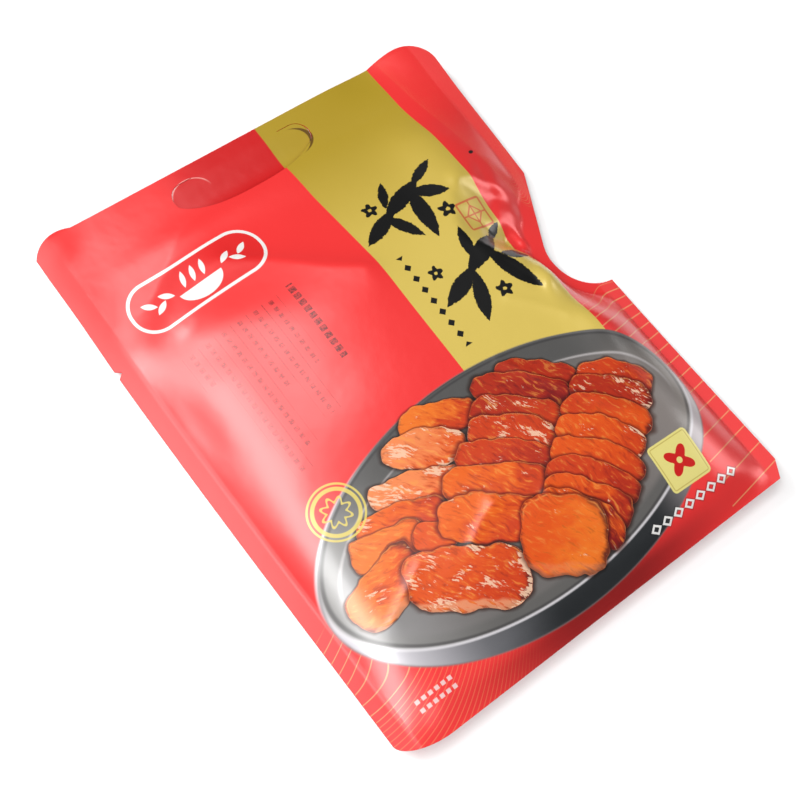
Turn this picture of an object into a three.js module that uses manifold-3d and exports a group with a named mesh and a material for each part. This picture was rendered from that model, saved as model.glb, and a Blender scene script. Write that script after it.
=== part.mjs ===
// Sealed laminate-film pouch of sliced braised honey pork, lying on its back on a table.
// Millimetres. +X runs to the pouch's right side, +Y to its top edge, +Z up, out of its front.
// The origin lies on the table, under the middle of the outline.
import * as THREE from "three";
import { mergeVertices } from "three/addons/utils/BufferGeometryUtils.js";
import Module from "manifold-3d";

// Film outline, as cut
const WIDTH = 170;
const LENGTH = 210; // from the bottom edge to the straight top edge
const EAR_RISE = 1.6; // the right top corner stands this far past the straight top edge
const LEFT_PULL_IN = 0.2; // the filling draws the left side in by this much
const RIGHT_PULL_IN = 0.7;
const HALF_WIDTH = WIDTH / 2;
const HALF_LENGTH = LENGTH / 2;

// Film and seals
const SEAL_THICKNESS = 0.5;
const SIDE_SEAL = 6;
const SCALLOP_SEAL = 4.5;
const BOTTOM_BAND = 12; // skirt below the bottom gusset's weld
const FLAP_DEPTH = 19; // flat film between the top edge and the filling

// Heights above the table
const TOP_EDGE_HEIGHT = 8;
const BOTTOM_EDGE_HEIGHT = 7;
const SIDE_SAG = 5.6; // the side seals hang this far below the line from end to end
const FILLED_HEIGHT = 18.3;

// How far the front takes to reach its full height, from each side
const LEFT_RUN = 78;
const RIGHT_RUN = 24; // beside and below the scallop
const RIGHT_TOP_RUN = 34; // above it, from this height on
const RIGHT_TOP = 50;
const SCALLOP_RUN = 12;
const SCALLOP_LOW_RUN = 19; // round the scallop's lower end
const TOP_RUN = 62;
const BOTTOM_RUN = 42;
const BOTTOM_BAND_SHARE = 0.3; // of the height is reached within the skirt
const CORNER = { start: -30, fade: 40, drop: 20 }; // the flat film reaches lower towards the left corner
const UNDERSIDE_RUN = 17; // the back comes down to the table over this distance
const UNDERSIDE_TOP_RUN = 34;
const UNDERSIDE_TOP_START = 14; // below the flat film at the top
const SEAL_BLEND = 6; // rounds the corner between the side seal and the scallop's seal

// Low on the left the front lifts off quickly, then climbs slowly: where that starts, how far it
// fades in, both runs, and the quick one's share of the height
const LIFT = { top: 0, fade: 45, run: 18, slope: 130, share: 0.33 };

// Hand hole: a cut on three sides that leaves its flap hanging from the top
const HAND_HOLE = { x: -4.6, top: 100, width: 58, height: 11, belly: 4, corner: 5.4 };
const CUT_WIDTH = 0.8;
const HINGE_WIDTH = 37;

// Tear openings: a small nick on the left, and on the right a wide scallop, a circle drawn out to a point
const NICK = { y: 52.4, height: 3, depth: 1.9 };
const SCALLOP = { x: 85, y: 4.5, radius: 16.6, top: 39.9 };

// Soft hollows and swells of the front: middle, half length, half width, turn in degrees, rise
const FRONT_SWELLS = [
  [56, 66, 22, 12, 84, 2], // swell over the pinch
  [60, -26, 14, 9, 84, 1.2], // swell below the scallop
  [-78, 20, 13, 7, 90, -1.4], // hollow by the left seal
  [-55, 50, 24, 9, -25, 1], // shoulder under the left corner
  [8, 78, 24, 6, 0, 0.9], // swell below the hand hole
  [-27, 54, 13, 6, -42, 1.2], // slanting fold below the hand hole
  [-8, 38, 15, 6.5, -42, 1.2],
];

// Bends of the whole film, front and back together
const FILM_BENDS = [
  [-4.6, 82, 42, 6, 0, 1.2], // film bows up below the hand hole
  [76, 100, 16, 9, -35, 1], // right top corner curls up
  [-79, 100, 9, 7, 40, 0.8], // left top corner
  [-85, 76, 16, 12, 90, 1.4], // left side stays up below that corner
  [59, 105, 14, 10, 0, -1.6], // film dips beside the right top corner
  [66, 58, 30, 20, 90, 3], // right side slopes evenly down to its edge above the scallop
];

// Folded facets beside the scallop: points with their height above the table, points on the
// plain film around them, and the facets between the points
const FOLD_POINTS = {
  A: [53.2, 47.6, 17.6], B: [59.0, 45.3, 16.2], C: [64.2, 40.2, 13.0], D: [69.8, 35.1, 9.6],
  E: [77.0, 37.0, 6.2], F: [68.0, 31.7, 8.6], G: [64.2, 29.4, 9.8], H: [59.3, 26.6, 10.4],
  I: [59.6, 33.0, 11.0], J: [59.2, 38.4, 12.8], K: [64.6, 35.6, 10.0], L: [52.6, 36.7, 15.2],
  M: [50.8, 28.5, 13.6], N: [47.2, 21.0, 16.2], O: [48.2, 15.8, 17.0], P: [50.6, 9.9, 17.4],
  Q: [52.2, 3.0, 17.4], R: [53.2, 22.6, 10.4], S: [59.0, 23.4, 8.0], T: [59.0, 18.4, 3.9],
  U: [59.0, 13.6, 8.2], V: [59.0, 9.4, 11.8], W: [59.0, 4.8, 14.5], X: [59.2, -0.4, 16.2],
  Y: [62.0, 23.1, 8.4], Z: [63.9, 19.1, 7.0], a: [65.4, 13.4, 6.2], b: [62.6, 13.2, 6.4],
  c: [59.6, -5.5, 15.6],
};
const FOLD_RIM = {
  d: [48.8, 43.6], e: [45.0, 38.4], f: [42.0, 33.0], g: [40.5, 27.0], h: [43.0, 20.0],
  i: [44.0, 12.0], j: [46.0, 4.0], k: [50.0, -6.0], l: [58.0, -14.0], m: [66.0, -12.0],
  n: [69.0, -3.0], o: [68.0, 5.0], p: [69.6, 13.0], q: [72.6, 21.0], r: [76.2, 29.6],
  s: [84.2, 40.2], t: [82.0, 45.0], u: [74.0, 48.0], v: [66.0, 52.0], w: [58.0, 53.0],
  x: [51.0, 51.0],
};
const FOLD_FACETS =
  "qrF Ers tEs uEt Mfg wBv CBJ Cuv BCv mcl ncm ILM LIJ ALJ AJB DEu CDu rDF EDr KCJ IKJ DKF KDC iOh " +
  "HIM Xcn oXn XoW QXW ckl kQj kXQ Xkc efM LeM Awx ABw ONh hNg NMg POi Pij QPj aop abo oVW bVo VQW " +
  "VPQ HGI KGF GKI GqF deL AdL dAx UbT UVb VUP OUT PUO SRT ROT RNO NRM RHM RSH qZp Zap bZT aZb SYH " +
  "YGH YST ZYT GYq YZq";
const FOLD_SOFTNESS = 1.6; // the facets' edges are rounded off over this distance

// Mesh of the film before it is trimmed
const TRIM_MARGIN = 3;
const COLUMNS = 43;
const ROWS = 52;
const FOLD_DENSITY = 0.5; // cells are this much closer together beside the scallop
const SIDE_STEPS = 9;
const CURVE_POINTS = 8;
const CUTTER_HEIGHT = 80;

const POUCH_RED = 0xd81a22;

const clamp01 = (t) => Math.min(1, Math.max(0, t));
const smooth = (t) => clamp01(t) ** 2 * (3 - 2 * clamp01(t));
const mix = (a, b, t) => a + (b - a) * t;
const radians = (degrees) => (degrees * Math.PI) / 180;

// Rises from 0 at the seal to 1 at the end of the run, steepest at the seal.
const domed = (distance, run, power) => 1 - (1 - clamp01(distance / run)) ** power;

// Sum of the smooth bumps in a list at one point.
function swellHeight(swells, x, y) {
  let total = 0;
  for (const [middleX, middleY, along, across, turn, rise] of swells) {
    const c = Math.cos(radians(turn));
    const s = Math.sin(radians(turn));
    const u = ((x - middleX) * c + (y - middleY) * s) / along;
    const v = ((y - middleY) * c - (x - middleX) * s) / across;
    total += rise * Math.exp(-u * u - v * v);
  }
  return total;
}

// The smaller of two distances, rounded off where they meet.
function smaller(a, b, blend) {
  const h = clamp01(0.5 + (0.5 * (b - a)) / blend);
  return mix(b, a, h) - blend * h * (1 - h);
}

// Distance from the scallop's edge: a circle drawn out to a point at its top.
function scallopDistance(x, y) {
  const reach = SCALLOP.top - SCALLOP.y;
  const sine = SCALLOP.radius / reach;
  const cosine = Math.sqrt(1 - sine * sine);
  const px = Math.abs(x - SCALLOP.x);
  const py = y - SCALLOP.y;
  const along = -sine * px + cosine * py;
  if (along < 0) return Math.hypot(px, py) - SCALLOP.radius;
  if (along > cosine * reach) return Math.hypot(px, py - reach);
  return cosine * px + sine * py - SCALLOP.radius;
}

// Middle of the sealed film above the table: the ends stay up and the sides sag.
function seamHeight(x, y) {
  const fromTop = clamp01((HALF_LENGTH - y) / LENGTH);
  const sag = SIDE_SAG * Math.sin(Math.PI * fromTop ** 0.8) ** 1.2;
  const towardsSide = clamp01(Math.abs(x) / HALF_WIDTH) ** 3;
  const level = mix(TOP_EDGE_HEIGHT, BOTTOM_EDGE_HEIGHT, fromTop);
  return level - sag * towardsSide + swellHeight(FILM_BENDS, x, y);
}

// Distance inwards from the inner edge of the seal down the right side and round the scallop.
const rightRoom = (x, y) =>
  smaller(HALF_WIDTH - SIDE_SEAL - x, scallopDistance(x, y) - SCALLOP_SEAL, SEAL_BLEND);

// Share of the full height that the filling gives the front.
function frontFill(x, y) {
  const fromLeft = x + HALF_WIDTH - SIDE_SEAL;
  const lifted = mix(domed(fromLeft, LIFT.slope, 1.6), domed(fromLeft, LIFT.run, 2), LIFT.share);
  const left = mix(domed(fromLeft, LEFT_RUN, 2.2), lifted, smooth((LIFT.top - y) / LIFT.fade));
  const rightRun = mix(RIGHT_RUN, RIGHT_TOP_RUN, smooth(y / RIGHT_TOP));
  const right = domed(HALF_WIDTH - SIDE_SEAL - x, rightRun, 2);
  const scallopRun = mix(SCALLOP_RUN, SCALLOP_LOW_RUN, smooth((-2 - y) / 14));
  const scallop = domed(scallopDistance(x, y) - SCALLOP_SEAL, scallopRun, 2);
  const corner = CORNER.drop * smooth((CORNER.start - x) / CORNER.fade);
  const fromTop = HALF_LENGTH - FLAP_DEPTH - corner - y;
  const top = Math.sin((Math.PI / 2) * clamp01(fromTop / (TOP_RUN - corner)) ** 1.2);
  const fromBottom = y + HALF_LENGTH;
  const bottom = mix(domed(fromBottom, BOTTOM_RUN, 2), smooth(fromBottom / BOTTOM_BAND), BOTTOM_BAND_SHARE);
  return left * right * scallop * top * bottom;
}

// Share of the way from the seam down to the table that the back has come.
function backDrop(x, y) {
  const left = smooth((x + HALF_WIDTH - SIDE_SEAL) / UNDERSIDE_RUN);
  const right = smooth(rightRoom(x, y) / UNDERSIDE_RUN);
  const top = smooth((HALF_LENGTH - FLAP_DEPTH - UNDERSIDE_TOP_START - y) / UNDERSIDE_TOP_RUN);
  const bottom = smooth((y + HALF_LENGTH - 1) / UNDERSIDE_RUN);
  return left * right * top * bottom;
}

// The front before the folded facets are pressed into it.
function plainHeight(x, y) {
  const fill = frontFill(x, y);
  const seam = seamHeight(x, y) + SEAL_THICKNESS / 2;
  return Math.max(seam, mix(seam, FILLED_HEIGHT, fill) + swellHeight(FRONT_SWELLS, x, y) * smooth(fill * 3));
}

// Corners of the folded facets: place, and how far each is raised from the plain front.
function facetCorners() {
  const corners = {};
  for (const [name, [x, y]] of Object.entries(FOLD_RIM)) corners[name] = [x, y, 0];
  for (const [name, [x, y, z]] of Object.entries(FOLD_POINTS)) corners[name] = [x, y, z - plainHeight(x, y)];
  return corners;
}

const FACETS = FOLD_FACETS.split(" ").map((facet) => [...facet].map((name) => facetCorners()[name]));

// How far the folded facets raise the front at one point, their edges still sharp.
function facetRise(x, y) {
  for (const [[ax, ay, a], [bx, by, b], [cx, cy, c]] of FACETS) {
    const area = (bx - ax) * (cy - ay) - (cx - ax) * (by - ay);
    const toB = ((x - ax) * (cy - ay) - (cx - ax) * (y - ay)) / area;
    const toC = ((bx - ax) * (y - ay) - (x - ax) * (by - ay)) / area;
    if (toB >= 0 && toC >= 0 && toB + toC <= 1) return a + (b - a) * toB + (c - a) * toC;
  }
  return 0;
}

function frontHeight(x, y) {
  const steps = [[0, 0], [1, 0], [-1, 0], [0, 1], [0, -1]];
  const rises = steps.map(([dx, dy]) => facetRise(x + dx * FOLD_SOFTNESS, y + dy * FOLD_SOFTNESS));
  const fold = rises.reduce((sum, rise) => sum + rise / steps.length, 0);
  return Math.max(seamHeight(x, y) + SEAL_THICKNESS / 2, plainHeight(x, y) + fold);
}

function backHeight(x, y) {
  return Math.max(0, mix(seamHeight(x, y) - SEAL_THICKNESS / 2, 0, backDrop(x, y)));
}

// Draws the mesh's lines closer together towards one place; both ends stay.
function gathered(t, place) {
  const turn = 2 * Math.PI;
  return t - (FOLD_DENSITY * (Math.sin(turn * (t - place)) + Math.sin(turn * place))) / turn;
}

// A closed block whose top follows the front film and whose underside follows the back film.
function filledFilm() {
  const block = new THREE.BoxGeometry(
    WIDTH + 2 * TRIM_MARGIN,
    LENGTH + 2 * TRIM_MARGIN,
    1,
    COLUMNS,
    ROWS,
    1,
  );
  const position = block.getAttribute("position");
  const width = WIDTH + 2 * TRIM_MARGIN;
  const length = LENGTH + 2 * TRIM_MARGIN;
  for (let i = 0; i < position.count; i++) {
    const x = (gathered(position.getX(i) / width + 0.5, 0.85) - 0.5) * width;
    const y = (gathered(position.getY(i) / length + 0.5, 0.62) - 0.5) * length;
    const z = position.getZ(i) > 0 ? frontHeight(x, y) : backHeight(x, y);
    position.setXYZ(i, x, y, z);
  }
  return block;
}

const leftX = (y) => -HALF_WIDTH + LEFT_PULL_IN * Math.cos((Math.PI * y) / LENGTH);
const rightX = (y) => HALF_WIDTH - RIGHT_PULL_IN * Math.cos((Math.PI * y) / LENGTH);

// Follows one long side from one height to another, which bows in a little.
function followSide(shape, sideX, fromY, toY) {
  for (let i = 1; i <= SIDE_STEPS; i++) {
    const y = mix(fromY, toY, i / SIDE_STEPS);
    shape.lineTo(sideX(y), y);
  }
}

function pouchOutline() {
  const shape = new THREE.Shape();
  const chamferTop = -HALF_LENGTH + 6.4;
  const earCentre = { x: -74, y: 92.8, radius: 13.2 };
  const scallopStart = -Math.PI / 2 - Math.asin(RIGHT_PULL_IN / SCALLOP.radius);
  const scallopEnd = -Math.PI - Math.asin(SCALLOP.radius / (SCALLOP.top - SCALLOP.y));

  shape.moveTo(-67, -HALF_LENGTH);
  shape.lineTo(HALF_WIDTH - 3.7, -HALF_LENGTH);
  shape.lineTo(HALF_WIDTH, chamferTop);
  followSide(shape, rightX, chamferTop, SCALLOP.y - SCALLOP.radius);
  shape.absarc(SCALLOP.x, SCALLOP.y, SCALLOP.radius, scallopStart, scallopEnd, true);
  shape.lineTo(rightX(SCALLOP.top), SCALLOP.top);
  followSide(shape, rightX, SCALLOP.top, HALF_LENGTH - 9);
  shape.bezierCurveTo(84.4, 101.5, 79, HALF_LENGTH + EAR_RISE, 71.5, HALF_LENGTH + EAR_RISE);
  shape.bezierCurveTo(67.5, HALF_LENGTH + EAR_RISE, 63, HALF_LENGTH + 1, 59, HALF_LENGTH);
  shape.absarc(earCentre.x, earCentre.y, earCentre.radius, radians(67.5), radians(146.4), false);
  followSide(shape, leftX, 99.5, NICK.y + NICK.height / 2);
  shape.lineTo(leftX(NICK.y) + NICK.depth, NICK.y);
  shape.lineTo(leftX(NICK.y - NICK.height / 2), NICK.y - NICK.height / 2);
  followSide(shape, leftX, NICK.y - NICK.height / 2, -97.5);
  shape.bezierCurveTo(-84.6, -101, -77, -104.8, -67, -HALF_LENGTH);
  return shape;
}

// The hand hole's outline, or the same outline moved in by an inset.
function handHoleOutline(inset) {
  const { x, top, width, height, belly, corner } = HAND_HOLE;
  const left = x - width / 2 + inset;
  const right = x + width / 2 - inset;
  const high = top - inset;
  const low = top - height + inset;
  const radius = corner - inset;
  const shape = new THREE.Shape();
  shape.moveTo(left + radius, high);
  shape.absarc(left + radius, high - radius, radius, Math.PI / 2, Math.PI * 1.2, false);
  shape.bezierCurveTo(left + 8, low - belly * 0.7, x - 12, low - belly, x, low - belly);
  const rise = { x: right - radius * 0.19, y: low + radius * 0.35 };
  shape.bezierCurveTo(x + 12, low - belly, right - 8, low - belly * 0.7, rise.x, rise.y);
  shape.absarc(right - radius, high - radius, radius, -Math.PI * 0.2, Math.PI / 2, false);
  return shape;
}

const wasm = await Module();
wasm.setup();

function solidOf(geometry) {
  const bare = geometry.index ? geometry.toNonIndexed() : geometry.clone();
  bare.deleteAttribute("normal");
  bare.deleteAttribute("uv");
  const merged = mergeVertices(bare, 1e-4);
  return new wasm.Manifold(
    new wasm.Mesh({
      numProp: 3,
      vertProperties: new Float32Array(merged.attributes.position.array),
      triVerts: new Uint32Array(merged.index.array),
    }),
  );
}

function geometryOf(solid) {
  const { vertProperties, triVerts } = solid.getMesh();
  const geometry = new THREE.BufferGeometry();
  geometry.setAttribute("position", new THREE.BufferAttribute(new Float32Array(vertProperties), 3));
  geometry.setIndex(new THREE.BufferAttribute(new Uint32Array(triVerts), 1));
  geometry.computeVertexNormals();
  return geometry;
}

// A tall prism of a flat shape, for cutting through the film.
function cutter(shape) {
  const prism = new THREE.ExtrudeGeometry(shape, {
    depth: CUTTER_HEIGHT,
    bevelEnabled: false,
    curveSegments: CURVE_POINTS,
  });
  prism.translate(0, 0, -CUTTER_HEIGHT / 2);
  return solidOf(prism);
}

// The narrow cut round the hand hole's flap, left open along the hinge.
function handHoleCut() {
  const hinge = new THREE.BoxGeometry(HINGE_WIDTH, 6, CUTTER_HEIGHT + 2);
  hinge.translate(HAND_HOLE.x, HAND_HOLE.top, 0);
  return cutter(handHoleOutline(0))
    .subtract(cutter(handHoleOutline(CUT_WIDTH)))
    .subtract(solidOf(hinge));
}

function pouchMesh() {
  const solid = solidOf(filledFilm()).intersect(cutter(pouchOutline())).subtract(handHoleCut());
  const film = new THREE.MeshStandardMaterial({ color: POUCH_RED, roughness: 0.38, metalness: 0.25 });
  const pouch = new THREE.Mesh(geometryOf(solid), film);
  pouch.name = "pouch";
  pouch.position.y = -EAR_RISE / 2;
  return pouch;
}

const product = new THREE.Group();
product.add(pouchMesh());

export default product;
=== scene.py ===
# Looks of the sealed pouch of braised honey pork: printed satin film, its folds, seals and slit.
# Lengths in this script are millimetres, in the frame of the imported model: +X right, +Y to the
# pouch's top edge, +Z up out of its printed front. Meshes are written in metres.
import math

import bmesh
import bpy
import numpy as np
from mathutils import Matrix, Vector


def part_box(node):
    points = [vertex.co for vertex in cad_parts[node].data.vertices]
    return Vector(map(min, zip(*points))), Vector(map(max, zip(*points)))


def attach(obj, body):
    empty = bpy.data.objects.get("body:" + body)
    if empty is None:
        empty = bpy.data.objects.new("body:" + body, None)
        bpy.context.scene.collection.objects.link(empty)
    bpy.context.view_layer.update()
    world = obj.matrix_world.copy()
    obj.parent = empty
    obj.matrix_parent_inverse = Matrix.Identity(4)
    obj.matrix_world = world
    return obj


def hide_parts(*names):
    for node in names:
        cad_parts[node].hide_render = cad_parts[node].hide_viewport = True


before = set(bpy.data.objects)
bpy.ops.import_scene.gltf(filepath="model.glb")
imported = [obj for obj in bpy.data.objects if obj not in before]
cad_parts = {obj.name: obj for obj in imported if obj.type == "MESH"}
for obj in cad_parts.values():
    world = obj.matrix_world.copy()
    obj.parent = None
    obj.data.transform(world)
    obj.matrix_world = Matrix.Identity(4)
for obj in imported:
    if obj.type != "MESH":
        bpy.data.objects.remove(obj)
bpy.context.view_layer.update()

MM = 0.001

# Film outline, as cut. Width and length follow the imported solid.
LOW, HIGH = (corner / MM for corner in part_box("pouch"))
EAR_RISE = 1.6
EAR_SHIFT = EAR_RISE / 2
WIDTH = HIGH.x - LOW.x
LENGTH = HIGH.y - LOW.y - EAR_RISE
HALF_WIDTH = WIDTH / 2
HALF_LENGTH = LENGTH / 2
# How far the left side, -1, and the right side, 1, bow in
SIDE_PULL_IN = {-1: 0.2, 1: 0.7}

# The outline's corners: where the straight runs end, and how the curves between them bend
BOTTOM_EDGE_START = -67.0
BOTTOM_RIGHT_CORNER = {"width": 3.7, "height": 6.4}
RIGHT_SIDE_TOP = HALF_LENGTH - 9
EAR_TOP = HALF_LENGTH + EAR_RISE
EAR_CURVE = [(84.4, 101.5), (79, EAR_TOP), (71.5, EAR_TOP)]
EAR_FALL = [(67.5, EAR_TOP), (63, HALF_LENGTH + 1), (59, HALF_LENGTH)]
TOP_LEFT_ARC = {"cx": -74.0, "cy": 92.8, "radius": 13.2, "start": 67.5, "end": 146.4}
LEFT_SIDE_TOP = 99.5
LEFT_SIDE_BOTTOM = -97.5
BOTTOM_LEFT_CURVE = [(-84.6, -101), (-77, -104.8)]

# Film and seals
SEAL_THICKNESS = 0.5
SIDE_SEAL = 6.0
SCALLOP_SEAL = 4.5
BOTTOM_BAND = 12.0
FLAP_DEPTH = 19.0

# Heights above the table
TOP_EDGE_HEIGHT = 8.0
BOTTOM_EDGE_HEIGHT = 7.0
SIDE_SAG = 5.6
# The sag is deepest a little above the middle, and builds up close to the sides
SAG_LEAN = 0.8
SAG_POWER = 1.2
SAG_SIDE_POWER = 3
FILLED_HEIGHT = 18.3

# How far the front takes to reach its full height, from each side
LEFT_RUN = 78.0
RIGHT_RUN = 24.0
RIGHT_TOP_RUN = 34.0
RIGHT_TOP = 50.0
SCALLOP_RUN = 12.0
SCALLOP_LOW_RUN = 19.0
SCALLOP_LOW_TOP = -2.0
SCALLOP_LOW_FADE = 14.0
RIGHT_CORNER_BLEND = 6.0
TOP_RUN = 62.0
BOTTOM_RUN = 42.0
# Low on the left the front lifts off quickly, then climbs slowly
LIFT_TOP = 0.0
LIFT_FADE = 45.0
LIFT_RUN = 18.0
LIFT_SLOPE = 130.0
LIFT_SHARE = 0.33
# A band along the bottom seal takes a share of the rise
BOTTOM_BAND_SHARE = 0.3
# Towards the top left corner the rise starts further down
CORNER_START = -30.0
CORNER_FADE = 40.0
CORNER_DROP = 20.0
# How the back comes down to the table
UNDERSIDE_RUN = 17.0
UNDERSIDE_TOP_RUN = 34.0
UNDERSIDE_TOP_START = 14.0
UNDERSIDE_BOTTOM_START = 1.0
# How steeply the rises start at their seals: 1 is a straight slope. The top's starts gently.
RISE_POWER = 2
LEFT_POWER = 2.2
SLOPE_POWER = 1.6
TOP_POWER = 1.2
# Folds and swells reach their full height where the front is a third filled
RELIEF_ONSET = 3

# Hand hole and tear openings
HAND_HOLE = {"x": -4.6, "top": 100.0, "width": 58.0, "height": 11.0, "belly": 4.0, "corner": 5.4}
CUT_WIDTH = 0.2
HINGE_WIDTH = 37.0
HINGE_REACH = 3.0
BELLY_TURN = 216
BELLY_SHOULDER = (8.0, 1.2)
BELLY_REACH = 12.0
FLAP_HANG = 1.3
NICK = {"y": 52.4, "height": 3.0, "depth": 1.9}
SCALLOP = {"x": 85.0, "y": 4.5, "radius": 16.6, "top": 39.9}

# Soft hollows and swells of the front: middle, half length, half width, turn in degrees, rise
FRONT_SWELLS = [
    (56, 66, 22, 12, 84, 2.0),  # swell over the pinch
    (60, -26, 14, 9, 84, 1.2),  # swell below the scallop
    (-78, 20, 13, 7, 90, -1.4),  # hollow by the left seal
    (-55, 50, 24, 9, -25, 1.0),  # shoulder under the left corner
    (8, 78, 24, 6, 0, 0.9),  # swell below the hand hole
]

# Bends of the whole film, front and back together
FILM_BENDS = [
    (-4.6, 82, 42, 6, 0, 1.2),  # film bows up below the hand hole
    (76, 100, 16, 9, -35, 1.0),  # right top corner curls up
    (-79, 100, 9, 7, 40, 0.8),  # left top corner
    (-85, 76, 16, 12, 90, 1.4),  # left side stays up below that corner
    (59, 105, 14, 10, 0, -1.6),  # film dips beside the right top corner
    (66, 58, 30, 20, 90, 3.0),  # right side slopes evenly down to its edge above the scallop
]

# Crisp creases of the front: path, rise, and how far each side takes to level out
CREASES = [
    ([(-34, 66), (-23, 57.5), (-7, 43), (3, 35.5)], 1.9, 5.0, 14.0),  # slanting fold
    ([(20, -17), (30, -33), (40, -47), (50, -62)], 0.3, 1.0, 1.0),  # fine lines across the dish
    ([(4, -62), (9, -67), (12.5, -73), (13.5, -80)], 0.3, 1.0, 1.0),
    ([(-27, -62), (-20, -58), (-13, -55.5)], 0.35, 1.2, 3.0),
    ([(-13, -55), (-8, -57), (0, -60.5), (5, -63)], 0.35, 1.2, 3.0),
    ([(-62, -66), (-52, -61), (-46, -58)], 0.35, 1.2, 3.0),
    ([(44, 21), (48, 13), (52, 3)], 0.5, 1.2, 1.0),  # gleams on the gold stripe beside the pinch
    ([(38, -1), (45, -8), (52, -17)], 0.4, 2.0, 1.5),
]
CREST_RADIUS = 0.6
SMALLEST_DISTANCE = 1e-6

# Folded facets beside the scallop: named points with their height above the table,
# points on the plain film around them, and the facets between the points
FOLD_POINTS = {
    "A": (53.2, 47.6, 17.6), "B": (59.0, 45.3, 16.2), "C": (64.2, 40.2, 13.0), "D": (69.8, 35.1, 9.6),
    "E": (77.0, 37.0, 6.2), "F": (68.0, 31.7, 8.6), "G": (64.2, 29.4, 9.8), "H": (59.3, 26.6, 10.4),
    "I": (59.6, 33.0, 11.0), "J": (59.2, 38.4, 12.8), "K": (64.6, 35.6, 10.0), "L": (52.6, 36.7, 15.2),
    "M": (50.8, 28.5, 13.6), "N": (47.2, 21.0, 16.2), "O": (48.2, 15.8, 17.0), "P": (50.6, 9.9, 17.4),
    "Q": (52.2, 3.0, 17.4), "R": (53.2, 22.6, 10.4), "S": (59.0, 23.4, 8.0), "T": (59.0, 18.4, 3.9),
    "U": (59.0, 13.6, 8.2), "V": (59.0, 9.4, 11.8), "W": (59.0, 4.8, 14.5), "X": (59.2, -0.4, 16.2),
    "Y": (62.0, 23.1, 8.4), "Z": (63.9, 19.1, 7.0), "a": (65.4, 13.4, 6.2), "b": (62.6, 13.2, 6.4),
    "c": (59.6, -5.5, 15.6),
}
FOLD_RIM = {
    "d": (48.8, 43.6), "e": (45.0, 38.4), "f": (42.0, 33.0), "g": (40.5, 27.0), "h": (43.0, 20.0),
    "i": (44.0, 12.0), "j": (46.0, 4.0), "k": (50.0, -6.0), "l": (58.0, -14.0), "m": (66.0, -12.0),
    "n": (69.0, -3.0), "o": (68.0, 5.0), "p": (69.6, 13.0), "q": (72.6, 21.0), "r": (76.2, 29.6),
    "s": (84.2, 40.2), "t": (82.0, 45.0), "u": (74.0, 48.0), "v": (66.0, 52.0), "w": (58.0, 53.0),
    "x": (51.0, 51.0),
}
FOLD_FACETS = (
    "qrF Ers tEs uEt Mfg wBv CBJ Cuv BCv mcl ncm ILM LIJ ALJ AJB DEu CDu rDF EDr KCJ IKJ DKF KDC iOh HIM "
    "Xcn oXn XoW QXW ckl kQj kXQ Xkc efM LeM Awx ABw ONh hNg NMg POi Pij QPj aop abo oVW bVo VQW VPQ HGI "
    "KGF GKI GqF deL AdL dAx UbT UVb VUP OUT PUO SRT ROT RNO NRM RHM RSH qZp Zap bZT aZb SYH YGH YST ZYT "
    "GYq YZq"
)
FOLD_SOFTNESS = 1.6

# The fine mesh of the film before it is trimmed
TRIM_MARGIN = 3.0
COLUMNS = 196
ROWS = 236
CURVE_POINTS = 24
EDGE_PACKING = 0.35
CUTTER_HEIGHT = 80.0
SAME_POINT = 0.001
RIM_SHARPNESS = 40
EDGE_TILT = 0.1

# Colours of the print, and of its painted shade and highlights, as they look on the lit film, 0 to 255
RED = (252, 66, 66)
BACK_RED = (226, 38, 40)
EDGE_RED = (206, 44, 42)
FLAP_SHADE_RED = (216, 44, 45)
SHADED_RED = (120, 22, 22)
SLIT_SHADE = (92, 62, 18)
SLIT_SHINE = (255, 176, 168)
PILL_RED = (216, 26, 24)
GOLD = (228, 201, 102)
SHADED_GOLD_TOP = (186, 157, 54)
GOLD_SHADE_FADE = (20, 100)
INK_BLACK = (22, 18, 18)
GOLD_LINE = (246, 186, 128)
RULE_RED = (84, 12, 22)
FAINT_RED = (150, 20, 30)
SEAL_YELLOW = (236, 214, 104)
WHITE = (247, 245, 242)
PALE_GOLD = (240, 228, 140)
DULL_GOLD = (176, 150, 60)
STAMP_RED = (222, 96, 66)
FLOWER_RED = (214, 40, 30)

# Glazes of the meat, from pale to dark, and what lies on them
PEACH = (252, 144, 88)
AMBER = (249, 126, 48)
COPPER = (244, 108, 40)
ORANGE = (234, 92, 34)
RUST = (214, 72, 28)
BRICK = (186, 56, 24)
MAHOGANY = (142, 38, 18)
MEAT_RIM = (84, 20, 10)
MEAT_EDGE = (255, 168, 92)
MEAT_SKIN = (240, 164, 122)
MEAT_SHINE = (255, 214, 182)
MEAT_GOLD = (255, 176, 84)

# Plate under the meat: middle, half length, half width
PRINT_TURN = 1.5
PLATE = (-2, -57, 76.3, 43.2)
PLATE_RIM = (-2, -53.5, 75.5, 39.3)
PLATE_WELL = (-2.5, -56, 69.5, 32)

# Steel of the plate: tones from left to right, where each takes over from the one before, and
# the tones of its back and of its fine lines
STEEL_LEFT_SPAN = (-84, -30)
WALL_TONES = [(222, 218, 224), (116, 116, 120), (54, 56, 58)]
WALL_LEFT_SPAN = (-76, -40)
WALL_DARK_SPAN = (-48, -14)
WALL_RIGHT_TONE = (206, 196, 198)
WALL_RIGHT_SPAN = (30, 70)
RIM_TONES = [(166, 164, 162), (106, 104, 102), (156, 148, 142)]
RIM_RIGHT_SPAN = (40, 72)
WELL_TONES = [(168, 166, 166), (118, 114, 112), (144, 136, 132)]
WELL_RIGHT_SPAN = (20, 62)
STEEL_BACK_LEAN = 0.1
STEEL_BACK_SPAN = (-46, -22)
RIM_BACK_TONE = (92, 91, 90)
WELL_BACK_TONE = (100, 98, 97)
RIM_SHADE_OFFSET = 0.9
RIM_SHADE_TONE = (64, 62, 64)
RIM_GLEAM_TONE = (238, 234, 238)
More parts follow.
